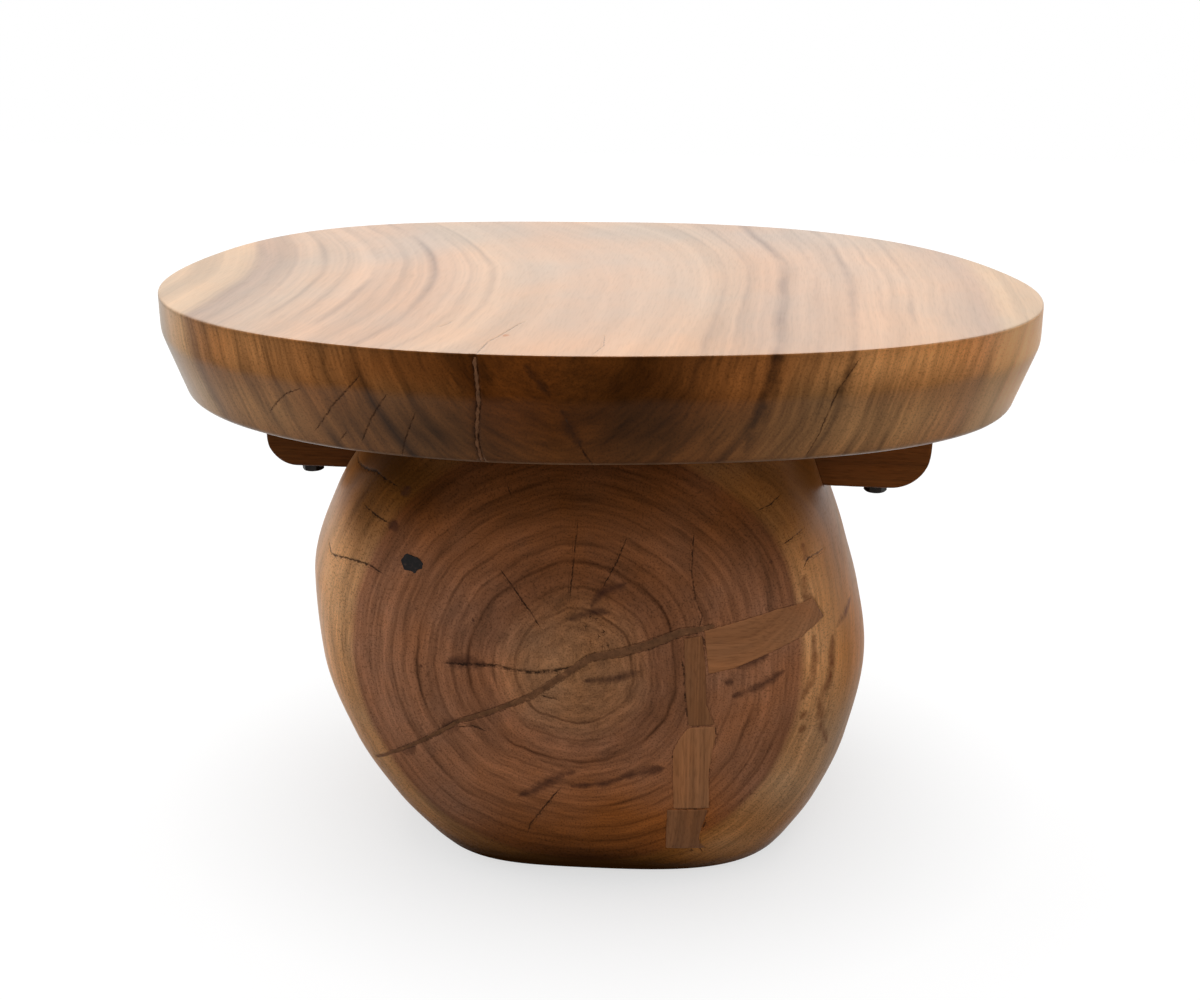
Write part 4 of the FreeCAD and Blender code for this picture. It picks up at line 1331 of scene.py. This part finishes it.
class TABLE_OT_slab(bpy.types.Operator):
    """Build the oval slab with its hand-cut rim, checks and cracks"""
    bl_idname = "table.slab"
    bl_label = "Slab"

    def execute(self, context):
        slab = context.scene.table_settings.slab
        mesh = closed_body("table_top_wood", slab_rings(slab))
        points = vertex_array(mesh)
        under = slab.top - slab.thickness
        flat_under = points[:, 2] < under + TOUCH
        on_top = points[:, 2] > slab.top - slab.top_round / 2
        above_foot = points[:, 2] > under + MM / 2
        on_rim = (points[:, 1] < -slab.width / 4) & ~on_top & above_foot
        top_places = points[:, :2]
        rim_places = points[:, [0, 2]]

        # Press the cracks and the beds of the fillers in, and let the sanded faces wander
        top_side, top_near, top_gap = line_field(top_places, TOP_CRACKS, CRACK_REACH)
        rim_side, rim_near, rim_gap = line_field(rim_places, RIM_CRACKS, CRACK_REACH)
        filler_line = ((2, RIM_FILLER_LINE),)
        filler_side, filler_near, filler_gap = line_field(rim_places, filler_line, CRACK_REACH)
        slant_gap = line_field(rim_places, ((1, SLANTED_FILLER_LINE),), CRACK_REACH)[2]
        press = np.where(on_top, groove(top_gap, *TOP_CRACK_GROOVE), 0)
        press += np.where(on_rim, groove(rim_gap, *RIM_CRACK_GROOVE), 0)
        press += np.where(on_rim, groove(filler_gap, *RIM_FILLER_BED), 0)
        press += np.where(on_rim, groove(slant_gap, *SLANTED_FILLER_BED), 0)
        press -= slab_wander(slab, points) * np.where(on_top, 0.5, 1)
        press = np.where(flat_under, 0, press)
        set_vertices(mesh, points - normal_array(mesh) * press[:, None])

        # Marks
        at_filler = filler_gap < rim_gap
        rim_side = np.where(at_filler, filler_side, rim_side)
        rim_near = np.where(at_filler, LINE_STRENGTH["rim filler"] * filler_near,
                            LINE_STRENGTH["rim crack"] * rim_near)
        top_near = LINE_STRENGTH["top crack"] * top_near
        # Smudges along the rim's cracks, and painted shade in the filler's bed beside the bead
        smudges = np.maximum(0.7 * soft_marks(rim_places, RIM_SMUDGES),
                             groove(filler_gap, 0.6, 3 * MM))
        set_fields(mesh,
                   crack_side=np.where(on_top, top_side, np.where(on_rim, rim_side, NO_CRACK)),
                   crack_near=np.where(on_top, top_near, np.where(on_rim, rim_near, 0)),
                   smudge=np.where(on_rim, smudges, 0),
                   bark=np.where(on_top, soft_marks(top_places, TOP_RUST_SPOTS), 0))

        # Tones: the rim's fade out past the middle, and a dark line runs under the top arris
        # The rim's patches carry painted shade on the lower taper and painted sheen toward its ends,
        # beside the wood's tone
        rim_light, rim_warm = soft_patches(rim_places, RIM_PATCHES)
        below_top = (slab.top - points[:, 2]) / MM
        arris_line = 0.6 + 0.6 * wave(points, 30 * MM, 17)
        rim_light -= groove(below_top - 2.2, 0.3, 1.2) * arris_line
        top_light, top_warm = soft_patches(top_places, TOP_PATCHES)
        fade = np.where(flat_under, 0, smooth_ramp(-points[:, 1], -90 * MM, 10 * MM))
        dull_end = 0.85 * ramp(points[:, 0], 250 * MM, 320 * MM)
        dull = np.maximum(dull_end, np.clip(-rim_light, 0, 1))
        set_fields(mesh,
                   lightness=np.where(on_top, top_light, fade * rim_light),
                   warmth=np.where(on_top, top_warm, fade * rim_warm),
                   dull=np.where(on_top, 0, dull))

        # Painted sheen: a pale grey wash in place of a reflection, under the wavy foot of the upright
        # band, most at the left end
        wavy_foot = slab.top - slab.band + 3 * MM * wave(points, 40 * MM, 13)
        below_band = ramp(wavy_foot - points[:, 2], 0, 7 * MM)
        from_middle = points[:, 0] / slab.length
        toward_ends = np.clip(-from_middle, 0, 1) * 0.7 + np.clip(from_middle, 0, 1) * 0.3
        set_fields(mesh, haze=below_band * (0.02 + toward_ends))
        stand("table_top_wood", mesh, oiled_slab_wood(slab), ["table_top"])
        return {"FINISHED"}


class TABLE_OT_log(bpy.types.Operator):
    """Build the log foot with its checks, joints, pockets and housing"""
    bl_idname = "table.log"
    bl_label = "Log foot"

    def execute(self, context):
        table = context.scene.table_settings
        log = table.log
        mesh = closed_body("log_foot_wood", log_rings(log))
        points = vertex_array(mesh)
        places = points[:, [0, 2]]

        # Press in the cracks, the pockets of the repairs and the wormholes
        gap = line_field(places, LOG_CRACKS, CRACK_REACH)[2]
        press = groove(gap, *LOG_CRACK_GROOVE)
        for edges in BLOCK_EDGES + (filler_edges(), knot_edges()):
            inside = depth_inside(places, polygon_of(edges))
            press = np.maximum(press, np.minimum(POCKET_SLOPE * inside, POCKET_DEPTH))
        for x, z in LOG_WORMHOLES:
            from_hole = np.hypot(places[:, 0] - x * MM, places[:, 1] - z * MM)
            press += groove(from_hole, WORMHOLE_DEPTH * MM, WORMHOLE_RADIUS * MM)
        front = points[:, 1] < -log.front / 8
        press = np.where(front, press, 0) - log_wander(log, points)
        flat = (points[:, 2] > log.top - TOUCH) | (points[:, 2] < log.foot + TOUCH)
        press = np.where(flat, 0, press)
        set_vertices(mesh, points - normal_array(mesh) * press[:, None])

        # Cut the housing for the bearer
        clearance = table.bearer.housing_clearance
        low = np.array((bearer_box[0].x * 2, bearer_box[0].y - clearance, bearer_box[0].z))
        high = np.array((bearer_box[1].x * 2, bearer_box[1].y + clearance, log.top + 20 * MM))
        housing = box_tool(low, high)
        housing.transform(log_matrix(log).inverted())
        mesh = cut_away(mesh, [housing])

        # Marks: the nearest of cracks, filler edges and block joints
        points = vertex_array(mesh)
        places = points[:, [0, 2]]
        front = points[:, 1] < -log.front / 8
        joints = []
        for edges in BLOCK_EDGES:
            corners = polygon_of(edges)
            joints.append((0.5, corners + corners[:1]))
        joint_side, joint_near, joint_gap = line_field(places, joints, JOINT_REACH)
        upper, lower = filler_edges()
        bead = ((0.5, upper), (0.7, lower))
        filler_side, filler_near, filler_gap = line_field(places, bead, JOINT_REACH)
        openings = LOG_CRACKS + LOG_JOINT_HOLES + worm_marks()
        side, near, gap = line_field(places, openings, JOINT_REACH)
        at_crack = gap < 2.5 * MM
        at_filler = filler_gap < joint_gap
        side = np.where(at_crack, side, np.where(at_filler, filler_side, joint_side))
        joined = np.where(at_filler, LINE_STRENGTH["log filler"] * filler_near,
                          LINE_STRENGTH["log joint"] * joint_near)
        near = np.where(at_crack, near, joined)
        set_fields(mesh,
                   crack_side=np.where(front, side, NO_CRACK),
                   crack_near=np.where(front, near, 0),
                   smudge=np.where(front, soft_marks(places, LOG_SMUDGES), 0),
                   bark=np.where(front, 0.7 * soft_marks(places, LOG_BARK_MARKS), 0))

        # Tones fade out behind the face. The right side is dull, its shoulder most of all
        # The patches carry painted shade under the slab and near the floor, and painted sheen low on
        # the face, beside the wood's tone
        light, warm = soft_patches(places, LOG_PATCHES)
        fade = smooth_ramp(-points[:, 1], 20 * MM, 110 * MM)
        fade = np.where(points[:, 2] < log.foot + TOUCH, 0, fade)
        shoulder = ramp(points[:, 2], 240 * MM, 290 * MM)
        dull_side = (0.8 + 0.2 * shoulder) * ramp(points[:, 0], 150 * MM, 200 * MM)
        set_fields(mesh, lightness=fade * light, warmth=fade * warm,
                   dull=np.maximum(dull_side, fade * np.clip(-light, 0, 1)))
        stand("log_foot_wood", mesh, oiled_log_wood(log), ["trunk_base"], log_matrix(log))
        return {"FINISHED"}


class TABLE_OT_bearer(bpy.types.Operator):
    """Build the cross bearer with its rounded ends and bores"""
    bl_idname = "table.bearer"
    bl_label = "Cross bearer"

    def execute(self, context):
        table = context.scene.table_settings
        bearer = table.bearer
        low, high = bearer_box
        ease = bearer.edge_round
        turns = np.linspace(0, math.pi / 2, BEARER_PLACES["arris"])
        stations = np.concatenate([
            low.x + ease * (1 - np.cos(turns))[:-1],
            np.linspace(low.x + ease, high.x - ease, BEARER_PLACES["length"]),
            high.x - ease * (1 - np.cos(turns[::-1]))[1:],
        ])
        rings = []
        for x in stations:
            from_left = x - low.x
            from_right = high.x - x
            lift = 0.0
            for reach, radius in ((from_left, bearer.left_round), (from_right, bearer.right_round)):
                if reach < radius:
                    lift = max(lift, radius - math.sqrt(max(radius ** 2 - (radius - reach) ** 2, 0)))
            from_end = min(from_left, from_right)
            inset = 0.0
            if from_end < ease:
                inset = ease - math.sqrt(max(ease ** 2 - (ease - from_end) ** 2, 0))
            rings.append(bearer_section(x, low, high, lift, inset, ease))
        mesh = closed_body("cross_bearer_wood", rings)
        points = vertex_array(mesh)
        hewn = 0.9 * MM * (0.5 + 0.5 * wave(points, 38 * MM, 9))
        hewn += 0.35 * MM * (0.5 + 0.5 * wave(points, 11 * MM, 11))
        hewn = np.where(points[:, 2] > high.z - MM / 2, 0, hewn)
        set_vertices(mesh, points - normal_array(mesh) * hewn[:, None])

        # Bores for all screws, and counterbores over the lag screws
        bore = 5.3 * MM
        counterbore = 13 * MM
        counterbore_foot = high.z - 24 * MM
        tools = []
        for screws in ("bearer_coach_screws", "trunk_lag_screws"):
            for x, y in screw_axes(screws):
                tools.append(round_tool(x, y, bore, low.z - ease, high.z + ease))
        for x, y in screw_axes("trunk_lag_screws"):
            tools.append(round_tool(x, y, counterbore, counterbore_foot, high.z + ease))
        mesh = cut_away(mesh, tools)
        # Painted shade at the bearer's left end and painted light at its right end, carried by the mesh
        light, warm = soft_patches(vertex_array(mesh)[:, [0, 2]], BEARER_PAINTED_LIGHT)
        set_fields(mesh, lightness=light, warmth=warm, dull=np.clip(-light, 0, 1))
        material = sawn_side_grain("oiled hewn side grain", tuple(bearer.wood), (0, 0, -0.21),
                                   (0, 0, math.pi / 2), 0.48, marks=True)
        stand("cross_bearer_wood", mesh, material, ["cross_bearer"])
        return {"FINISHED"}


def bearer_section(x, low, high, lift, inset, ease):
    """A closed section of the bearer: a box with rounded lower corners, in the plane of one x."""
    front = low.y + inset
    back = high.y - inset
    foot = low.z + lift + inset
    top = high.z - inset
    ease = min(ease, (top - foot) / 3)
    turns = np.linspace(0, math.pi / 2, BEARER_PLACES["arris"])
    up = np.linspace(foot + ease, top, BEARER_PLACES["side"])
    down = np.linspace(top, foot + ease, BEARER_PLACES["side"])
    corners = []
    corners += [(back - ease + ease * math.sin(t), foot + ease - ease * math.cos(t)) for t in turns]
    corners += [(back, z) for z in up[1:]]
    corners += [(y, top) for y in np.linspace(back, front, BEARER_PLACES["face"])[1:]]
    corners += [(front, z) for z in down[1:]]
    corners += [(front + ease - ease * math.cos(t), foot + ease - ease * math.sin(t))
                for t in turns[1:]]
    along_foot = np.linspace(front + ease, back - ease, BEARER_PLACES["face"])
    corners += [(y, foot) for y in along_foot[1:-1]]
    return np.array([(x, y, z) for y, z in corners])


def screw_axes(name):
    """The x and y of each upright screw in a CAD node."""
    points = vertex_array(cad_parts[name].data)
    columns = {}
    close = 15 * MM
    for x, y, _ in points:
        near = next((c for c in columns if abs(c[0] - x) < close and abs(c[1] - y) < close), None)
        columns.setdefault(near or (x, y), []).append((x, y))
    axes = []
    for members in columns.values():
        members = np.array(members)
        axes.append(tuple((members.min(0) + members.max(0)) / 2))
    return axes


def worm_marks():
    return tuple((WORMHOLE_RADIUS, ((x, z - 0.6), (x, z + 0.6))) for x, z in LOG_WORMHOLES)


def filler_edges():
    return ribbon_edges(LOG_FILLER_LINE, LOG_FILLER_WIDTHS)


def knot_edges():
    turns = np.linspace(0, math.pi, 13)
    x = KNOT_CENTRE[0] - KNOT_WIDTH / 2 * np.cos(turns)
    lift = KNOT_HEIGHT / 2 * np.sin(turns) + 0.4
    upper = np.stack([x, KNOT_CENTRE[1] + lift], 1)
    lower = np.stack([x, KNOT_CENTRE[1] - lift], 1)
    return tuple(map(tuple, upper)), tuple(map(tuple, lower))


def let_in(table, name, edges, material, cad_node, rows, columns, sink=0.0, ragged=0.3):
    """A block or filler let into the log's face, flush with it and eased at its visible edges."""
    log = table.log
    repairs = table.repairs
    grid = between(edges, rows, columns)
    rim = np.zeros((rows, columns), bool)
    rim[[0, -1], :] = True
    rim[:, [0, -1]] = True
    outward = np.maximum(np.abs(np.linspace(-1, 1, rows))[:, None],
                         np.abs(np.linspace(-1, 1, columns))[None, :])
    shake = np.stack([wave(grid, 4 * MM, 21), wave(grid, 4 * MM, 22)], -1)
    grid = grid + shake * ragged * MM * outward[..., None] ** 4
    points = log_face(log, grid[..., 0], grid[..., 1])
    normals = log_face_normal(log, grid[..., 0], grid[..., 1])
    wander = log_wander(log, points)
    skin = 0.12 * MM * wave(points, 14 * MM, 31)
    lift = wander + skin - sink - np.where(rim, repairs.ease, 0)
    face = points + normals * lift[..., None]
    back = points + normals * (wander - repairs.thickness)[..., None]
    mesh = block_body(name, face, back)
    stand(name, mesh, material, [cad_node], log_matrix(log))


class TABLE_OT_log_repairs(bpy.types.Operator):
    """Build the filler, wooden blocks and black knot that are let into the log's face"""
    bl_idname = "table.log_repairs"
    bl_label = "Log repairs"

    def execute(self, context):
        table = context.scene.table_settings
        repairs = table.repairs
        block = tuple(repairs.block)
        filler = trowelled_filler("sanded dust filler of the log", tuple(repairs.filler), 0.5)
        let_in(table, "diagonal_filler", filler_edges(), filler,
               "diagonal_crack_fillet", 240, 7, 0.25 * MM, 0.5)
        upright = (math.pi / 2, 0, 0)
        blocks = (
            ("wedge_block", "wedge_inlay", 1.16, (0.3, 0.1, 0.02), (0, 0, 1.4), 90, 30),
            ("upright_strip", "upright_strip_inlay", 0.85, (0.5, 0.2, 0.1), upright, 70, 16),
            ("middle_patch", "middle_patch_inlay", 1.25, (0.7, 0.4, 0.3), upright, 70, 26),
            ("foot_patch", "foot_patch_inlay", 0.85, (0.9, 0.1, 0.6), upright, 40, 28),
        )
        for edges, (name, cad_node, tone, shift, turn, rows, columns) in zip(BLOCK_EDGES, blocks):
            material = sawn_side_grain("sanded let-in " + name, scaled(block, tone), shift, turn, 0.42)
            let_in(table, name, edges, material, cad_node, rows, columns)
        resin = dark_resin("poured black resin", tuple(repairs.resin))
        let_in(table, "black_knot", knot_edges(), resin, "knot_plug", 44, 30,
               -0.15 * MM, 2.6)
        return {"FINISHED"}


def rim_filler(slab, name, line, half_width, proud, rows, columns, material, cad_node):
    """A bead of filler along a line over the slab's front rim, crowned and rooted in the wood."""
    sunk = 1.5 * MM
    root = 6 * MM
    edges = ribbon_edges(line, np.full(len(line), half_width))
    grid = between(edges, rows, columns)
    swell = 0.5 + 0.5 * wave(grid, 5 * MM, 41)
    grid[..., 0] += wave(grid, 3 * MM, 43) * 0.9 * half_width * MM
    share = np.abs(np.linspace(-1, 1, columns))[None, :]
    crown = 1 - share ** 2.2
    points = np.array([[rim_point(slab, x, z) for x, z in row] for row in grid])
    wander = slab_wander(slab, points)
    outward = points * np.array((1, 1, 0))
    outward /= np.linalg.norm(outward, axis=-1, keepdims=True)
    lift = wander - sunk + (proud + sunk) * crown * swell
    face = points + outward * lift[..., None]
    back = points + outward * (wander - root)[..., None]
    mesh = block_body(name, face, back)
    stand(name, mesh, material, [cad_node])


class TABLE_OT_rim_fillers(bpy.types.Operator):
    """Build the beads of filler in the two cracks of the slab's rim"""
    bl_idname = "table.rim_fillers"
    bl_label = "Rim fillers"

    def execute(self, context):
        table = context.scene.table_settings
        colour = scaled(tuple(table.repairs.filler), 1.05)
        filler = trowelled_filler("sanded dust filler of the rim", colour, 0.3)
        rim_filler(table.slab, "rim_crack_bead", RIM_FILLER_LINE, RIM_FILLER_WIDTH, 0.1 * MM,
                   150, 11, filler, "rim_crack_fillet")
        dark_filler = trowelled_filler("sanded dark filler of the rim", scaled(colour, 0.4), 0.4)
        rim_filler(table.slab, "slanted_crack_bead", SLANTED_FILLER_LINE, SLANTED_FILLER_WIDTH,
                   -0.2 * MM, 90, 5, dark_filler, "slanted_rim_fillet")
        return {"FINISHED"}


class TABLE_OT_hardware(bpy.types.Operator):
    """Finish the screws, washers, glides and nails"""
    bl_idname = "table.hardware"
    bl_label = "Screws and glides"

    def execute(self, context):
        # Hot-dipped oil blackening: near black, soft uneven gloss
        black = worked_metal("oil-blackened forged steel", linear("#2A2624"), 6 * MM, 0.38)
        # Zinc plating: pale, faintly blue, with a spangle
        zinc = worked_metal("zinc-plated rolled steel", linear("#B9BCC0"), 3 * MM, 0.3)
        nylon = moulded_nylon("moulded black nylon", linear("#1B1B1C"))
        for name in ("bearer_coach_screws", "bearer_washers"):
            finish_node(name, black)
        for name in ("trunk_lag_screws", "trunk_lag_washers", "glide_nails"):
            finish_node(name, zinc)
        finish_node("foot_glides", nylon)
        return {"FINISHED"}


def softbox(name, place, target, width, height, power, mirrored):
    """A rectangular studio lamp that points at a place. The glossy top mirrors it only if asked to."""
    lamp = bpy.data.lights.new(name, "AREA")
    lamp.shape = "RECTANGLE"
    lamp.size = width
    lamp.size_y = height
    lamp.energy = power
    holder = placed(name, lamp)
    holder.visible_glossy = mirrored
    holder.location = place
    holder.rotation_euler = (Vector(target) - Vector(place)).to_track_quat("-Z", "Y").to_euler()


def seen_directly(tree):
    """1 for rays that see the background, also in a mirror or through glass, 0 for the others."""
    path = node(tree, "ShaderNodeLightPath").outputs
    either = math_node(tree, "MAXIMUM", path["Is Camera Ray"], path["Is Glossy Ray"])
    return math_node(tree, "MAXIMUM", either, path["Is Transmission Ray"])


def set_camera(scene, stage):
    """A camera fitted to the view of the photo."""
    camera = bpy.data.cameras.new("camera")
    camera.sensor_width = 36
    camera.lens = stage.lens
    holder = placed("camera", camera)
    holder.location = stage.camera_place
    holder.rotation_euler = (math.pi / 2 - stage.camera_tilt, 0, stage.camera_turn)
    scene.camera = holder


def set_white_room(scene, stage):
    """Surroundings that light the table evenly and look plain white."""
    world = bpy.data.worlds.new("studio")
    scene.world = world
    world.use_nodes = True
    tree = world.node_tree
    tree.nodes.clear()
    even = node(tree, "ShaderNodeBackground",
                {"Color": (0.95, 0.97, 1.0, 1), "Strength": stage.room_light})
    white = node(tree, "ShaderNodeBackground", {"Color": (1, 1, 1, 1), "Strength": 1.0})
    both = node(tree, "ShaderNodeMixShader", {0: seen_directly(tree), 1: even, 2: white})
    node(tree, "ShaderNodeOutputWorld", {"Surface": both})


def set_floor(stage):
    """A pale floor that melts into the white surroundings away from the table's shadow."""
    half = 4.0
    sheet = bpy.data.meshes.new("floor")
    corners = [(-half, -half, 0), (half, -half, 0), (half, half, 0), (-half, half, 0)]
    sheet.from_pydata(corners, [], [(0, 1, 2, 3)])
    material, tree, shader = new_material("matt painted floor", Roughness=0.9)
    speck = node(tree, "ShaderNodeTexNoise", {"Scale": 90.0, "Detail": 2.0})
    specks = math_node(tree, "MULTIPLY", speck, 0.04)
    lit = tinted(tree, tuple(stage.floor), specks, scaled(stage.floor, 0.9))
    # Only what sees the floor directly gets the pale paint. A darker one lights the table
    bounced = (0.06, 0.058, 0.055)
    seen = tinted(tree, bounced, seen_directly(tree), lit)
    tree.links.new(live_output(seen), shader.inputs["Base Color"])

    # The floor glows like the background, but less near the table, where its shadow shows
    glow = node(tree, "ShaderNodeEmission", {"Color": (1, 1, 1, 1), "Strength": 1.1})
    from_table = node(tree, "ShaderNodeVectorMath", {0: object_place(tree)}, operation="LENGTH")
    distance = from_table.outputs["Value"]
    outer_share = remap(tree, distance, 0.6, 1.5, 0.78, 1.0)
    near_share = remap(tree, distance, 0.16, 0.4, 0.7, 1.0)
    share = math_node(tree, "MULTIPLY", math_node(tree, "MULTIPLY", outer_share, near_share),
                      seen_directly(tree))
    blend = node(tree, "ShaderNodeMixShader", {0: share, 1: shader, 2: glow})
    output = next(n for n in tree.nodes if n.bl_idname == "ShaderNodeOutputMaterial")
    tree.links.new(blend.outputs[0], output.inputs["Surface"])
    sheet.materials.append(material)
    floor = placed("floor", sheet)


class TABLE_OT_stage(bpy.types.Operator):
    """Set up the floor, the lamps, the white surroundings and the camera"""
    bl_idname = "table.stage"
    bl_label = "Stage"

    def execute(self, context):
        stage = context.scene.table_settings.stage
        scene = context.scene
        scene.view_settings.view_transform = "Standard"
        set_camera(scene, stage)
        set_white_room(scene, stage)
        set_floor(stage)
        softbox("overhead softbox", (0.0, 0.45, 1.9), (0.0, 0.1, 0.4), 2.4, 1.8, stage.overhead, True)
        softbox("left softbox", (-1.8, 0.1, 0.8), (0.0, 0.0, 0.3), 1.0, 1.3, stage.left_lamp, False)
        softbox("right softbox", (1.8, 0.1, 0.8), (0.0, 0.0, 0.3), 1.0, 1.3, stage.right_lamp, False)
        softbox("frontal fill", (-0.2, -2.6, 1.4), (0.0, 0.0, 0.3), 1.6, 1.4, stage.front_lamp, False)
        return {"FINISHED"}


class TABLE_PT_panel(bpy.types.Panel):
    """Lists what builds the table"""
    bl_idname = "TABLE_PT_panel"
    bl_label = "Coffee table"
    bl_space_type = "VIEW_3D"
    bl_region_type = "UI"
    bl_category = "Coffee table"

    def draw(self, context):
        for operator in OPERATORS:
            self.layout.operator(operator.bl_idname)


SETTINGS = (SlabSettings, LogSettings, BearerSettings, RepairSettings, StageSettings, TableSettings)
OPERATORS = (TABLE_OT_slab, TABLE_OT_log, TABLE_OT_bearer, TABLE_OT_log_repairs, TABLE_OT_rim_fillers,
             TABLE_OT_hardware, TABLE_OT_stage)


def register():
    for kind in SETTINGS + OPERATORS + (TABLE_PT_panel,):
        bpy.utils.register_class(kind)
    bpy.types.Scene.table_settings = PointerProperty(type=TableSettings)


def unregister():
    del bpy.types.Scene.table_settings
    for kind in reversed(SETTINGS + OPERATORS + (TABLE_PT_panel,)):
        bpy.utils.unregister_class(kind)


def main():
    register()
    bpy.ops.table.slab()
    bpy.ops.table.log()
    bpy.ops.table.bearer()
    bpy.ops.table.log_repairs()
    bpy.ops.table.rim_fillers()
    bpy.ops.table.hardware()
    bpy.ops.table.stage()


if __name__ == "__main__":
    main()
